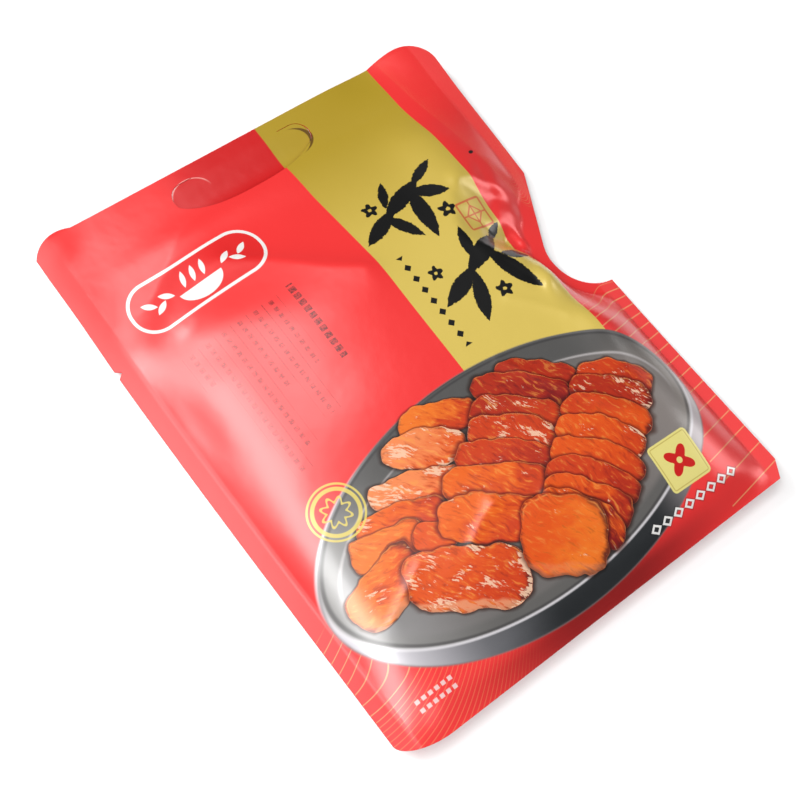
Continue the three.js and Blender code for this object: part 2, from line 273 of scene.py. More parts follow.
RIM_GLEAM_Y_SPAN = (-46, -64)
RIM_GLEAM_X_SPAN = (-30, -60)
PLATE_LINE_TONE = (120, 118, 118)
WELL_GLEAM_TONE = (222, 216, 216)
WELL_GLEAM_Y_SPAN = (-62, -46)
WELL_GLEAM_X_SPAN = (20, 44)

# Meat slices from the back of the dish to the front: middle, half length, half width, turn in
# degrees, squareness, glaze at the lit end, glaze at the far end, glints, crust
SLICES = [
    (-10, -22.6, 14, 5.8, -18, 3.0, AMBER, RUST, 0.1, 0.0),
    (-20, -28.2, 14.5, 6.6, -24, 2.8, PEACH, ORANGE, 1.0, 0.0),
    (-29.8, -37.2, 16.5, 5.8, -20, 2.8, PEACH, ORANGE, 1.0, 0.0),
    (-40, -43, 16, 5.8, -17, 2.8, COPPER, RUST, 0.4, 0.0),
    (-49.5, -47.4, 13, 7, -16, 3.4, AMBER, COPPER, 0.1, 0.0),
    (-57.0, -57.4, 14.9, 8.2, 15, 4.0, AMBER, ORANGE, 0.1, 0.9),
    (27.5, -28.8, 14.5, 6.2, -38, 2.6, BRICK, BRICK, 0.3, 0.0),
    (19.5, -31.4, 17.5, 7.8, -40, 2.6, BRICK, MAHOGANY, 0.2, 0.0),
    (13.5, -36.4, 16.5, 6.8, -38, 2.6, BRICK, RUST, 0.5, 0.0),
    (7.2, -41.6, 15.5, 8.0, -40, 2.7, RUST, RUST, 0.9, 0.0),
    (0.6, -46.6, 17.5, 7.0, -37, 2.7, RUST, BRICK, 0.2, 0.0),
    (-7.5, -51.4, 18.5, 7, -33, 2.7, COPPER, RUST, 0.2, 0.0),
    (-35, -53.6, 7.5, 5, -30, 2.4, ORANGE, ORANGE, 0.1, 0.0),
    (-16.5, -59.2, 17.5, 8.6, -34, 2.8, COPPER, RUST, 0.1, 0.0),
    (-34.8, -70.4, 20.5, 10.6, -31, 3.2, ORANGE, RUST, 0.8, 1.0),
    (49.5, -45.4, 13.5, 7.4, -42, 3.0, RUST, BRICK, 0.45, 0.0),
    (45, -48.6, 14.5, 7, -42, 2.8, BRICK, BRICK, 0.5, 0.0),
    (38.6, -53.6, 16, 7.4, -44, 2.6, RUST, ORANGE, 0.15, 0.0),
    (32, -58.4, 15.5, 7, -48, 2.6, ORANGE, RUST, 0.4, 0.0),
    (25.4, -63.6, 16.5, 7.2, -48, 2.6, ORANGE, RUST, 0.1, 0.0),
    (19.6, -68.6, 16, 7.4, -50, 2.6, RUST, BRICK, 0.1, 0.0),
    (14, -73.2, 15.5, 7.6, -52, 2.6, ORANGE, BRICK, 0.1, 0.0),
    (8.6, -76.6, 15.5, 8, -58, 2.6, ORANGE, MAHOGANY, 0.3, 0.0),
    (0.2, -77.4, 14.8, 13.4, -34, 3.6, ORANGE, AMBER, 0.05, 0.3),
]

# Ink branch: middle, half length, half width and turn of each brush stroke
STROKES = [
    (18, 45.2, 9.4, 2.8, 24), (32, 51.2, 10.8, 3.2, 20), (44.5, 56.4, 6.4, 1.9, 24),
    (34.7, 42.4, 11.6, 3.2, 80), (25, 41.5, 8.4, 2.4, 118), (27.5, 55.8, 6, 1.8, 60),
    (42, 48.4, 7.6, 2.6, -30), (27, 11.5, 10, 3, 22), (42.5, 18.6, 11.6, 3.4, 24),
    (54, 24.4, 5, 1.6, 30), (30.8, 4.8, 10, 2.9, 66), (47.5, 7.4, 12.4, 3.5, -70),
    (39.2, 24, 7, 2.2, 76), (53, 12, 6.2, 2.3, -24),
]
BRUSH_RAGGEDNESS = 1.4
BRUSH_SCALE = 0.8
BRUSH_ROUGHNESS = 0.6

# Blossoms on the branch: middle and size of each, then shares of that size
BLOSSOMS = [(19.6, 53.4, 3.1), (42.4, 38.4, 3.4), (22.4, 20.2, 2.9), (39.4, 2.6, 3.3)]
PETALS = 5
PETAL_SHARE = 0.2
PETAL_MIDDLE_SHARE = 0.8
BLOSSOM_EYE_SHARE = 0.22

# Row of lozenges beside the branch, and the square stamp with its lattice
LOZENGE_X = 15.2
LOZENGE_SIZE = 1.5
LOZENGE_PITCH = 4.9
LOZENGE_ROW = (LOZENGE_X, 12.25, 3, 19.6)
STAMP = (51.2, 32.6, 5.4)
STAMP_CORNER = 0.6
LATTICE_SLOPE = 0.7
LATTICE_REACH = 2.4
LATTICE_WIDTH = 0.3

# Meat slices: how their edges waver, and the shadow each throws on those behind it
WAVER_SCALE = 0.12
WAVER_DETAIL = 1.6
WAVER_REACH = 4.6
SLICE_EDGE = (1.03, 0.97)
SHADOW_SPAN = (0.98, 1.4)
SHADOW_TINT = (0.3, 0.15, 0.12)
SEED_STEP = 7.3

# Marks on a slice: a span says where a mark starts to show and where it is full
GRAIN_LEAN = -28
GRAIN_SIZE = (5.0, 1.3, 1)
GRAIN_ROUGHNESS = 0.6
MOTTLE_SIZE = (0.12, 0.2, 1)
FAR_ALONG = 0.5
FAR_ACROSS = -0.25
FAR_MIDDLE = 0.45
FAR_GRAIN = 1.3
FAR_SPAN = (0.1, 0.9)
DARK_GRAIN_SPAN = (0.54, 0.7)
GOLD_GRAIN_SPAN = (0.46, 0.3)
DARK_EDGE_SPAN = (0.4, 0.95)
DARK_END_SPAN = (0.1, 0.8)
DARK_MOTTLE_SPAN = (0.3, 0.6)
RIM_RAGGEDNESS = 0.5
RIM_ALONG = 0.1
RIM_ACROSS = -0.06
RIM_SPAN = (1.2, 1.55)
EDGE_LINE = {"place": 0.9, "width": 0.07, "soft": 0.05}
EDGE_LINE_SPAN = (0.2, 0.6)
EDGE_GRAIN_SPAN = (0.4, 0.52)
SKIN_SPAN = (-0.64, -0.76)
SKIN_GRAIN_SPAN = (0.36, 0.5)
SPARKLE_SCALE = 1.9
SPARKLE_ROUGHNESS = 0.65
SPARKLE_SHARE = 0.8
GLINT_LEVEL = -1.17
GLINT_SHARE = 0.22
GLINT_ENDS_SHARE = 0.1
GLINT_SPAN = (0.0, 0.07)

# Gold arcs across the bottom left corner: how they bend, their pitch, and how far down they
# close up, widen and grow pale
LEFT_ARC_CURL = 0.012
LEFT_ARC_CLIMB = 0.43
LEFT_ARC_CLIMB_SPAN = (-84, -70)
LEFT_ARC_PITCH = 4.0
LEFT_ARC_CLOSE_START = 87.5
LEFT_ARC_CLOSE = 0.3
LEFT_ARC_WIDTHS = (0.06, 0.12)
LEFT_ARC_WIDTH_SPAN = (86.5, 89)
LEFT_ARC_PALE = 0.5
LEFT_ARC_PALE_SPAN = (87, 92)
LEFT_ARC_X_SPAN = (-20, -60)
LEFT_ARC_Y_SPAN = (-54, -62)

# Gold arcs down the right side: a hump that is taller further up, a lean, how far below the
# film's middle they start, and a pitch that grows from one arc to the next
HUMP_X = 77.0
HUMP_HALF_WIDTH = 6.5
HUMP_HEIGHT = 2.6
HUMP_POWER = -1.44
HUMP_GROWTH = 0.1
HUMP_GROWTH_START = 1.3
RIGHT_ARC_LEAN = 0.14
RIGHT_ARC_START = 13.5
RIGHT_ARC_PITCH = 3.0
RIGHT_ARC_PITCH_GROWTH = 0.36
RIGHT_ARC_WIDTH = 0.3
RIGHT_ARC_X_SPAN = (58.9, 59.1)
RIGHT_ARC_FADE = 0.1
# Share of an arc's half width that is full gold, inside its soft edges
ARC_CORE_SHARE = 0.4

# Columns of dashes between thin rules, and how far down each one runs
COLUMN_LEFT = -65.7
COLUMN_PITCH = 6.27
COLUMN_TOP = 43.5
COLUMN_BOTTOMS = (29, -12, -6, 14, -1, 16)
BOLD_COLUMN = (-22.6, 28.5, 1.3, 16)
BOLD_EXTRA = 0.2
DASH_PITCH = 2.9
DASH_HALF = 0.85
RULE_HALF = 0.2
DASH_SOFT = 0.15
BREAK_SCALE = 1.3
BREAK_SPAN = (0.42, 0.58)
BREAK_STRENGTHS = (0.45, 0.9)
DROP_SCALE = 100

# Two rows of white dashes near the bottom: their middle, half measures and pitch
FOOT = (-65.0, -92.8)
FOOT_HALF_WIDTH = 7.5
FOOT_ROW_OFFSET = 1.5
FOOT_ROW_HALF = 0.7
FOOT_DASH_PITCH = 2.5
FOOT_DASH_HALF = 0.75

# White pill with a steaming bowl between leaves: middle, half sizes, then corner or turn
PILL = (-44.6, 65.2, 25.6, 9.4, 9.0)
PILL_LINE = 1.2
BOWL = (-44.6, 63.6, 8.2, 6.2)
BOWL_BODY = (-44.6, 58.6, 10, 4.8)
STEAM_Y = 68.2
STEAM_PITCH = 3.8
STEAM = (3.4, 0.9, 72)
PILL_LEAF = (2.9, 1.1)
PILL_LEAF_Y = 65.0
PILL_LEAF_RISE = 0.04
PILL_LEAVES = [(11.6, 35), (15, -35), (18.4, 35)]

# Yellow ring seal with a star
RING = (-56, -28.4)
RING_LINES = [(9.4, 0.7), (7.7, 1.3)]
STAR_POINTS = 8
STAR_SIZE = 4.2
STAR_POINT_HEIGHT = 0.9
STAR_LINE = 0.9

# Gold square with a flower, and the row of white lozenges below it
GOLD_SQUARE = (49.8, -80, 8.6, 8.8, 1.6, -2)
SQUARE_LINE_INSET = 0.9
SQUARE_LINE = 0.35
FLOWER = (49.8, -80, 45)
FLOWER_PETALS = 4
FLOWER_SIZE = 4.2
FLOWER_PETAL_HEIGHT = 1.6
FLOWER_EYE = 1.1
WHITE_ROW = (46.3, -93.4, 1)
WHITE_ROW_HALF = (20.8, 4)
WHITE_PITCH = 5.2
WHITE_SLOPE = 0.8
WHITE_SIZE = 1.9
WHITE_LINE = 0.9
WHITE_SHADE_OFFSET = 0.5
DARK_DOT = (67.4, 54.2, 1.2, 0.7, 10)

# Gold stripe; painted shade on the flap, on the skirt and at the slit's ends; painted glint at the slit
STRIPE = (33.4, 40, 25.7, 80)
FLAP_SHADE_BELLY = (-4.6, 102.4, 34, 17.4, 0, 2.6, 2)
FLAP_SHADE_BOX = (-4.6, 92.5, 29, 7.5, 5.4)
FLAP_SHADE_SOFT = 0.4
FLAP_SHADE_SPAN = (-40, -16)
SHADE_CRESCENT = (15.4, 93, 9, 5.8)
SHADE_CRESCENT_BITE = (13.8, 93, 9, 6.2)
SLIT_GLINT = (-26, 93.8, 7.8, 6.4)
SLIT_GLINT_LINE = 0.4
SLIT_GLINT_SPAN = (94, 98)
SKIRT_Y_SPAN = (-94, -101)
SKIRT_X_SPAN = (66, 10)

# How the lit film changes a print colour: light added by its sheen, and gain
FILM_VEIL = 0.015
FILM_GAIN = 1.33
DARKEST = 0.004

# Film and its cut edge: sheen, and the faint ripple, whose height is in metres
FILM_METALLIC = 0.12
FILM_SPECULAR = 1.0
FILM_ROUGHNESS = 0.29
SEAL_ROUGHNESS = 0.5
SEAL_ROUGHNESS_START = HALF_WIDTH - SIDE_SEAL - 1.6
SEAL_ROUGHNESS_FULL = HALF_WIDTH - SIDE_SEAL - 0.8
RIPPLE_SCALE = 0.1
RIPPLE_HEIGHT = 0.00012
EDGE_ROUGHNESS = 0.6
EDGE_SPECULAR = 0.2

# Studio, in metres: floor, lamps' distance, and each lamp's direction, width, height and watts
FLOOR_HALF_SIZE = 3
FLOOR_PAINT = (0.9, 0.9, 0.9, 1)
WORLD_STRENGTH = 0.05
LAMP_DISTANCE = 1.2
LAMPS = {
    "left softbox": ((-0.42, 0.16, 0.89), 0.8, 0.38, 8),
    "middle softbox": ((0.04, 0.32, 0.95), 0.36, 0.28, 1.9),
    "right softbox": ((0.84, -0.22, 0.5), 0.45, 0.5, 2.4),
    "front softbox": ((-0.4, -0.5, 0.77), 0.6, 0.6, 8),
    "back softbox": ((-0.5, 0.66, 0.56), 0.5, 0.4, 11),
}

# Photograph's camera, fitted to the pouch's four corners
CAMERA_PLACE = (-195.5, -114.0, 448.0)
CAMERA_AXES = ((0.7767, 0.5066, -0.3743), (-0.6042, 0.7670, -0.2160), (0.1777, 0.3939, 0.9018))
CAMERA_LENS = 65.34
CAMERA_SENSOR = 36


# Shape


def clamp01(t):
    return np.clip(t, 0.0, 1.0)


def smooth(t):
    t = clamp01(t)
    return t * t * (3 - 2 * t)


def mix(a, b, t):
    return a + (b - a) * t


def smaller(a, b, blend):
    """The smaller of two distances, rounded off where they meet."""
    h = clamp01(0.5 + 0.5 * (b - a) / blend)
    return mix(b, a, h) - blend * h * (1 - h)


def domed(distance, run, power):
    """Rises from 0 at the seal to 1 at the end of the run, steepest at the seal."""
    return 1 - (1 - clamp01(distance / run)) ** power


def swell_height(swells, x, y):
    """Rounded swells and hollows, added together."""
    total = np.zeros_like(x)
    for middle_x, middle_y, along, across, turn, rise in swells:
        c = math.cos(math.radians(turn))
        s = math.sin(math.radians(turn))
        u = ((x - middle_x) * c + (y - middle_y) * s) / along
        v = ((y - middle_y) * c - (x - middle_x) * s) / across
        total += rise * np.exp(-u * u - v * v)
    return total


def crease_height(creases, x, y):
    """Sharp-crested folds along short paths, each levelling out at its own rate on each side."""
    total = np.zeros_like(x)
    for path, rise, left, right in creases:
        nearest = np.full_like(x, np.inf)
        side = np.zeros_like(x)
        for (ax, ay), (bx, by) in zip(path, path[1:]):
            length = math.hypot(bx - ax, by - ay)
            ux, uy = (bx - ax) / length, (by - ay) / length
            along = np.clip((x - ax) * ux + (y - ay) * uy, 0, length)
            off_x, off_y = x - ax - along * ux, y - ay - along * uy
            distance = np.hypot(off_x, off_y)
            closer = distance < nearest
            side = np.where(closer, ux * (y - ay) - uy * (x - ax), side)
            nearest = np.where(closer, distance, nearest)
        reach = mix(right, left, 0.5 + 0.5 * side / np.maximum(nearest, SMALLEST_DISTANCE))
        rounded = np.sqrt(nearest**2 + CREST_RADIUS**2) - CREST_RADIUS
        total += rise * np.exp(-rounded / reach)
    return total


def scallop_distance(x, y):
    """Distance from the scallop's edge: a circle drawn out to a point at its top."""
    reach = SCALLOP["top"] - SCALLOP["y"]
    sine = SCALLOP["radius"] / reach
    cosine = math.sqrt(1 - sine * sine)
    px = np.abs(x - SCALLOP["x"])
    py = y - SCALLOP["y"]
    along = -sine * px + cosine * py
    round_end = np.hypot(px, py) - SCALLOP["radius"]
    point = np.hypot(px, py - reach)
    straight = cosine * px + sine * py - SCALLOP["radius"]
    return np.where(along < 0, round_end, np.where(along > cosine * reach, point, straight))


def seam_height(x, y):
    """Middle of the sealed film above the table: the ends stay up and the sides sag."""
    from_top = clamp01((HALF_LENGTH - y) / LENGTH)
    sag = SIDE_SAG * np.sin(math.pi * from_top**SAG_LEAN) ** SAG_POWER
    towards_side = clamp01(np.abs(x) / HALF_WIDTH) ** SAG_SIDE_POWER
    level = mix(TOP_EDGE_HEIGHT, BOTTOM_EDGE_HEIGHT, from_top)
    return level - sag * towards_side + swell_height(FILM_BENDS, x, y)


def right_room(x, y):
    """Distance inwards from the inner edge of the seal down the right side and round the scallop."""
    from_right = HALF_WIDTH - SIDE_SEAL - x
    from_scallop = scallop_distance(x, y) - SCALLOP_SEAL
    return smaller(from_right, from_scallop, RIGHT_CORNER_BLEND)


def front_fill(x, y):
    """Share of the full height that the filling gives the front."""
    from_left = x + HALF_WIDTH - SIDE_SEAL
    climb = domed(from_left, LIFT_SLOPE, SLOPE_POWER)
    lifted = mix(climb, domed(from_left, LIFT_RUN, RISE_POWER), LIFT_SHARE)
    left = mix(domed(from_left, LEFT_RUN, LEFT_POWER), lifted, smooth((LIFT_TOP - y) / LIFT_FADE))
    right_run = mix(RIGHT_RUN, RIGHT_TOP_RUN, smooth(y / RIGHT_TOP))
    right = domed(HALF_WIDTH - SIDE_SEAL - x, right_run, RISE_POWER)
    low = smooth((SCALLOP_LOW_TOP - y) / SCALLOP_LOW_FADE)
    scallop_run = mix(SCALLOP_RUN, SCALLOP_LOW_RUN, low)
    scallop = domed(scallop_distance(x, y) - SCALLOP_SEAL, scallop_run, RISE_POWER)
    corner = CORNER_DROP * smooth((CORNER_START - x) / CORNER_FADE)
    from_top = HALF_LENGTH - FLAP_DEPTH - corner - y
    top = np.sin(math.pi / 2 * clamp01(from_top / (TOP_RUN - corner)) ** TOP_POWER)
    from_bottom = y + HALF_LENGTH
    band = smooth(from_bottom / BOTTOM_BAND)
    bottom = mix(domed(from_bottom, BOTTOM_RUN, RISE_POWER), band, BOTTOM_BAND_SHARE)
    return left * right * scallop * top * bottom


def back_drop(x, y):
    """Share of the way from the seam down to the table that the back has come."""
    left = smooth((x + HALF_WIDTH - SIDE_SEAL) / UNDERSIDE_RUN)
    right = smooth(right_room(x, y) / UNDERSIDE_RUN)
    top = smooth((HALF_LENGTH - FLAP_DEPTH - UNDERSIDE_TOP_START - y) / UNDERSIDE_TOP_RUN)
    bottom = smooth((y + HALF_LENGTH - UNDERSIDE_BOTTOM_START) / UNDERSIDE_RUN)
    return left * right * top * bottom


def plain_height(x, y):
    """The front before the folded facets are pressed into it."""
    fill = front_fill(x, y)
    relief = swell_height(FRONT_SWELLS, x, y) + crease_height(CREASES, x, y)
    seam = seam_height(x, y) + SEAL_THICKNESS / 2
    filled = mix(seam, FILLED_HEIGHT, fill)
    return np.maximum(seam, filled + relief * smooth(fill * RELIEF_ONSET))


def facet_rise(x, y, rises):
    """Straight-sided facets between the fold points, each point raised by its own amount."""
    total = np.zeros_like(x)
    for facet in FOLD_FACETS.split():
        (ax, ay, a), (bx, by, b), (cx, cy, c) = (rises[name] for name in facet)
        area = (bx - ax) * (cy - ay) - (cx - ax) * (by - ay)
        to_b = ((x - ax) * (cy - ay) - (cx - ax) * (y - ay)) / area
        to_c = ((bx - ax) * (y - ay) - (x - ax) * (by - ay)) / area
        within = (to_b >= 0) & (to_c >= 0) & (to_b + to_c <= 1)
        total = np.where(within, a + (b - a) * to_b + (c - a) * to_c, total)
    return total


def front_height(x, y):
    """The printed front, with the folded facets pressed into it."""
    rises = {name: (px, py, 0.0) for name, (px, py) in FOLD_RIM.items()}
    for name, (px, py, height) in FOLD_POINTS.items():
        rises[name] = (px, py, height - float(plain_height(np.array([px]), np.array([py]))[0]))
    folds = np.zeros_like(x)
    steps = [(0, 0), (1, 0), (-1, 0), (0, 1), (0, -1)]
    for dx, dy in steps:
        folds += facet_rise(x + dx * FOLD_SOFTNESS, y + dy * FOLD_SOFTNESS, rises) / len(steps)
    return np.maximum(seam_height(x, y) + SEAL_THICKNESS / 2, plain_height(x, y) + folds)


def back_height(x, y):
    """The underside: on the table in the middle, up at the seams."""
    seam = seam_height(x, y) - SEAL_THICKNESS / 2
    return np.maximum(0.0, mix(seam, 0.0, back_drop(x, y)))


def right_x(y):
    """Where the right side lies at a place y along it; it bows in a little."""
    return HALF_WIDTH - SIDE_PULL_IN[1] * math.cos(math.pi * y / LENGTH)


def left_x(y):
    """Where the left side lies at a place y along it."""
    return -HALF_WIDTH + SIDE_PULL_IN[-1] * math.cos(math.pi * y / LENGTH)


# Outlines as point lists: straight runs, arcs and Bezier curves


def arc(cx, cy, radius, start, end, steps=CURVE_POINTS):
    """Points on an arc, angles in degrees, from start to end."""
    turns = [math.radians(start + (end - start) * i / steps) for i in range(steps + 1)]
    return [(cx + radius * math.cos(a), cy + radius * math.sin(a)) for a in turns]


def curve(p0, p1, p2, p3, steps=CURVE_POINTS):
    """Points on a cubic Bezier curve."""
    points = []
    for i in range(steps + 1):
        t = i / steps
        weights = ((1 - t) ** 3, 3 * t * (1 - t) ** 2, 3 * t * t * (1 - t), t**3)
        points.append(tuple(sum(w * p[k] for w, p in zip(weights, (p0, p1, p2, p3))) for k in (0, 1)))
    return points


def side(side_x, start, end, steps=20):
    """Points along a side of the film, from one y to another."""
    ys = [start + (end - start) * i / steps for i in range(steps + 1)]
    return [(side_x(y), y) for y in ys]


def scallop_points():
    """Up the scallop's round end from the side, then straight to its point."""
    tangent = math.degrees(math.asin(SCALLOP["radius"] / (SCALLOP["top"] - SCALLOP["y"])))
    start = -90 - math.degrees(math.asin(SIDE_PULL_IN[1] / SCALLOP["radius"]))
    return arc(SCALLOP["x"], SCALLOP["y"], SCALLOP["radius"], start, -180 - tangent)


def pouch_outline():
    """Round the film's edge, from the left end of the bottom edge."""
    corner_x = HALF_WIDTH - BOTTOM_RIGHT_CORNER["width"]
    corner_top = -HALF_LENGTH + BOTTOM_RIGHT_CORNER["height"]
    points = [(BOTTOM_EDGE_START, -HALF_LENGTH), (corner_x, -HALF_LENGTH)]
    points += side(right_x, corner_top, SCALLOP["y"] - SCALLOP["radius"])
    points += scallop_points()
    points += side(right_x, SCALLOP["top"], RIGHT_SIDE_TOP)
    points += curve(points[-1], *EAR_CURVE)[1:]
    points += curve(points[-1], *EAR_FALL)[1:]
    points += arc(**TOP_LEFT_ARC)
    points += side(left_x, LEFT_SIDE_TOP, NICK["y"] + NICK["height"] / 2)
    points += [(left_x(NICK["y"]) + NICK["depth"], NICK["y"])]
    points += side(left_x, NICK["y"] - NICK["height"] / 2, LEFT_SIDE_BOTTOM)
    points += curve(points[-1], *BOTTOM_LEFT_CURVE, points[0])[1:]
    return points


def hand_hole_outline(inset):
    """The hand hole's slit line, moved inwards by inset."""
    left = HAND_HOLE["x"] - HAND_HOLE["width"] / 2 + inset
    right = HAND_HOLE["x"] + HAND_HOLE["width"] / 2 - inset
    high = HAND_HOLE["top"] - inset
    low = HAND_HOLE["top"] - HAND_HOLE["height"] + inset
    belly = low - HAND_HOLE["belly"]
    radius = HAND_HOLE["corner"] - inset
    middle = HAND_HOLE["x"]
    shoulder_x, shoulder_rise = BELLY_SHOULDER
    left_bend = [(left + shoulder_x, belly + shoulder_rise), (middle - BELLY_REACH, belly)]
    right_bend = [(middle + BELLY_REACH, belly), (right - shoulder_x, belly + shoulder_rise)]
    points = arc(left + radius, high - radius, radius, 90, BELLY_TURN)
    points += curve(points[-1], *left_bend, (middle, belly))[1:]
    end = arc(right - radius, high - radius, radius, 180 - BELLY_TURN, 90)
    points += curve((middle, belly), *right_bend, end[0])[1:]
    return points + end[1:]


# Meshes


def new_object(name, bm):
    mesh = bpy.data.meshes.new(name)
    bm.to_mesh(mesh)
    bm.free()
    piece = bpy.data.objects.new(name, mesh)
    bpy.context.scene.collection.objects.link(piece)
    return piece


def mesh_points(mesh):
    """A mesh's vertices as rows of x, y and z."""
    place = np.empty(len(mesh.vertices) * 3)
    mesh.vertices.foreach_get("co", place)
    return place.reshape(-1, 3)


def prism(name, outline):
    """A tall closed prism of an outline, for cutting the film."""
    bm = bmesh.new()
    points = []
    for x, y in outline:
        if not points or math.dist((x, y), points[-1]) > SAME_POINT:
            points.append((x, y))
    if math.dist(points[0], points[-1]) < SAME_POINT:
        points.pop()
    base = [bm.verts.new((x * MM, (y - EAR_SHIFT) * MM, -CUTTER_HEIGHT / 2 * MM)) for x, y in points]
    face = bm.faces.new(base)
    raised = bmesh.ops.extrude_face_region(bm, geom=[face])
    top = [item for item in raised["geom"] if isinstance(item, bmesh.types.BMVert)]
    bmesh.ops.translate(bm, verts=top, vec=(0, 0, CUTTER_HEIGHT * MM))
    bmesh.ops.recalc_face_normals(bm, faces=bm.faces)
    return new_object(name, bm)


def boolean(target, cutter, operation):
    """Cuts or keeps part of target with a cutter, applies the result and deletes the cutter."""
    modifier = target.modifiers.new("cut", "BOOLEAN")
    modifier.solver = "MANIFOLD"
    modifier.operation = operation
    modifier.object = cutter
    apply_modifiers(target)
    bpy.data.objects.remove(cutter)


def apply_modifiers(piece):
    evaluated = piece.evaluated_get(bpy.context.evaluated_depsgraph_get())
    mesh = bpy.data.meshes.new_from_object(evaluated)
    piece.modifiers.clear()
    piece.data = mesh


def packed_to_edges(t):
    """Moves the mesh's columns or rows closer together near the pouch's edges."""
    return t - EDGE_PACKING * np.sin(2 * math.pi * t) / (2 * math.pi)


def film_block():
    """A closed block of fine cells, its top on the front film and its underside on the back film."""
    bm = bmesh.new()
    bmesh.ops.create_grid(bm, x_segments=COLUMNS, y_segments=ROWS, size=0.5)
    bottom = bmesh.ops.extrude_face_region(bm, geom=bm.faces[:])
    lowered = [item for item in bottom["geom"] if isinstance(item, bmesh.types.BMVert)]
    bmesh.ops.translate(bm, verts=lowered, vec=(0, 0, -1))
    bmesh.ops.recalc_face_normals(bm, faces=bm.faces)
    block = new_object("pouch_film", bm)
    place = mesh_points(block.data)
    x = packed_to_edges(place[:, 0] + 0.5) * (WIDTH + 2 * TRIM_MARGIN) - HALF_WIDTH - TRIM_MARGIN
    y = packed_to_edges(place[:, 1] + 0.5) * (LENGTH + 2 * TRIM_MARGIN) - HALF_LENGTH - TRIM_MARGIN
    z = np.where(place[:, 2] > -0.5, front_height(x, y), back_height(x, y))
    place = np.stack([x, y - EAR_SHIFT, z], axis=1) * MM
    block.data.vertices.foreach_set("co", place.ravel())
    return block


def trimmed_film():
    """The film cut to its outline and slit round the flap, but not along the flap's hinge."""
    film = film_block()
    boolean(film, prism("outline", pouch_outline()), "INTERSECT")
    cut = prism("cut", hand_hole_outline(0))
    boolean(cut, prism("cut_inner", hand_hole_outline(CUT_WIDTH)), "DIFFERENCE")
    low, high = HAND_HOLE["top"] - HINGE_REACH, HAND_HOLE["top"] + HINGE_REACH
    left, right = HAND_HOLE["x"] - HINGE_WIDTH / 2, HAND_HOLE["x"] + HINGE_WIDTH / 2
    hinge = [(left, low), (right, low), (right, high), (left, high)]
    boolean(cut, prism("hinge", hinge), "DIFFERENCE")
    boolean(film, cut, "DIFFERENCE")
    hang_flap(film.data)
    return film


def inside(outline, x, y):
    """Whether points lie inside a closed outline, by counting crossings."""
    found = np.zeros(x.shape, dtype=bool)
    for (ax, ay), (bx, by) in zip(outline, outline[1:] + outline[:1]):
        if ay == by:
            continue
        crosses = ((ay > y) != (by > y)) & (x < (bx - ax) * (y - ay) / (by - ay) + ax)
        found ^= crosses
    return found


def hang_flap(mesh):
    """Lowers the film inside the slit, more the further it is from the hinge."""
    place = mesh_points(mesh)
    x, y = place[:, 0] / MM, place[:, 1] / MM + EAR_SHIFT
    flap = inside(hand_hole_outline(CUT_WIDTH / 2), x, y)
    depth = HAND_HOLE["height"] + HAND_HOLE["belly"]
    drop = FLAP_HANG * smooth((HAND_HOLE["top"] - y) / depth)
    place[:, 2] -= np.where(flap, drop, 0) * MM
    mesh.vertices.foreach_set("co", place.ravel())


def add_film_map(mesh):
    """A map of the flat film: 0 to 1 across its width and its length."""
    layer = mesh.uv_layers.new(name="film")
    corners = np.empty(len(mesh.loops), dtype=np.int32)
    mesh.loops.foreach_get("vertex_index", corners)
    place = mesh_points(mesh) / MM
    u = place[:, 0] / WIDTH + 0.5
    v = (place[:, 1] + EAR_SHIFT) / LENGTH + 0.5
    layer.uv.foreach_set("vector", np.stack([u, v], axis=1)[corners].ravel().astype(np.float32))


# Print and film, built from procedural nodes


def seen(colour):
    """Base colour that looks like the given screen colour on the lit film."""
    linear = [(c / 255 / 12.92) if c < 11 else ((c / 255 + 0.055) / 1.055) ** 2.4 for c in colour]
    return (*(max(DARKEST, (c - FILM_VEIL) / FILM_GAIN) for c in linear), 1.0)


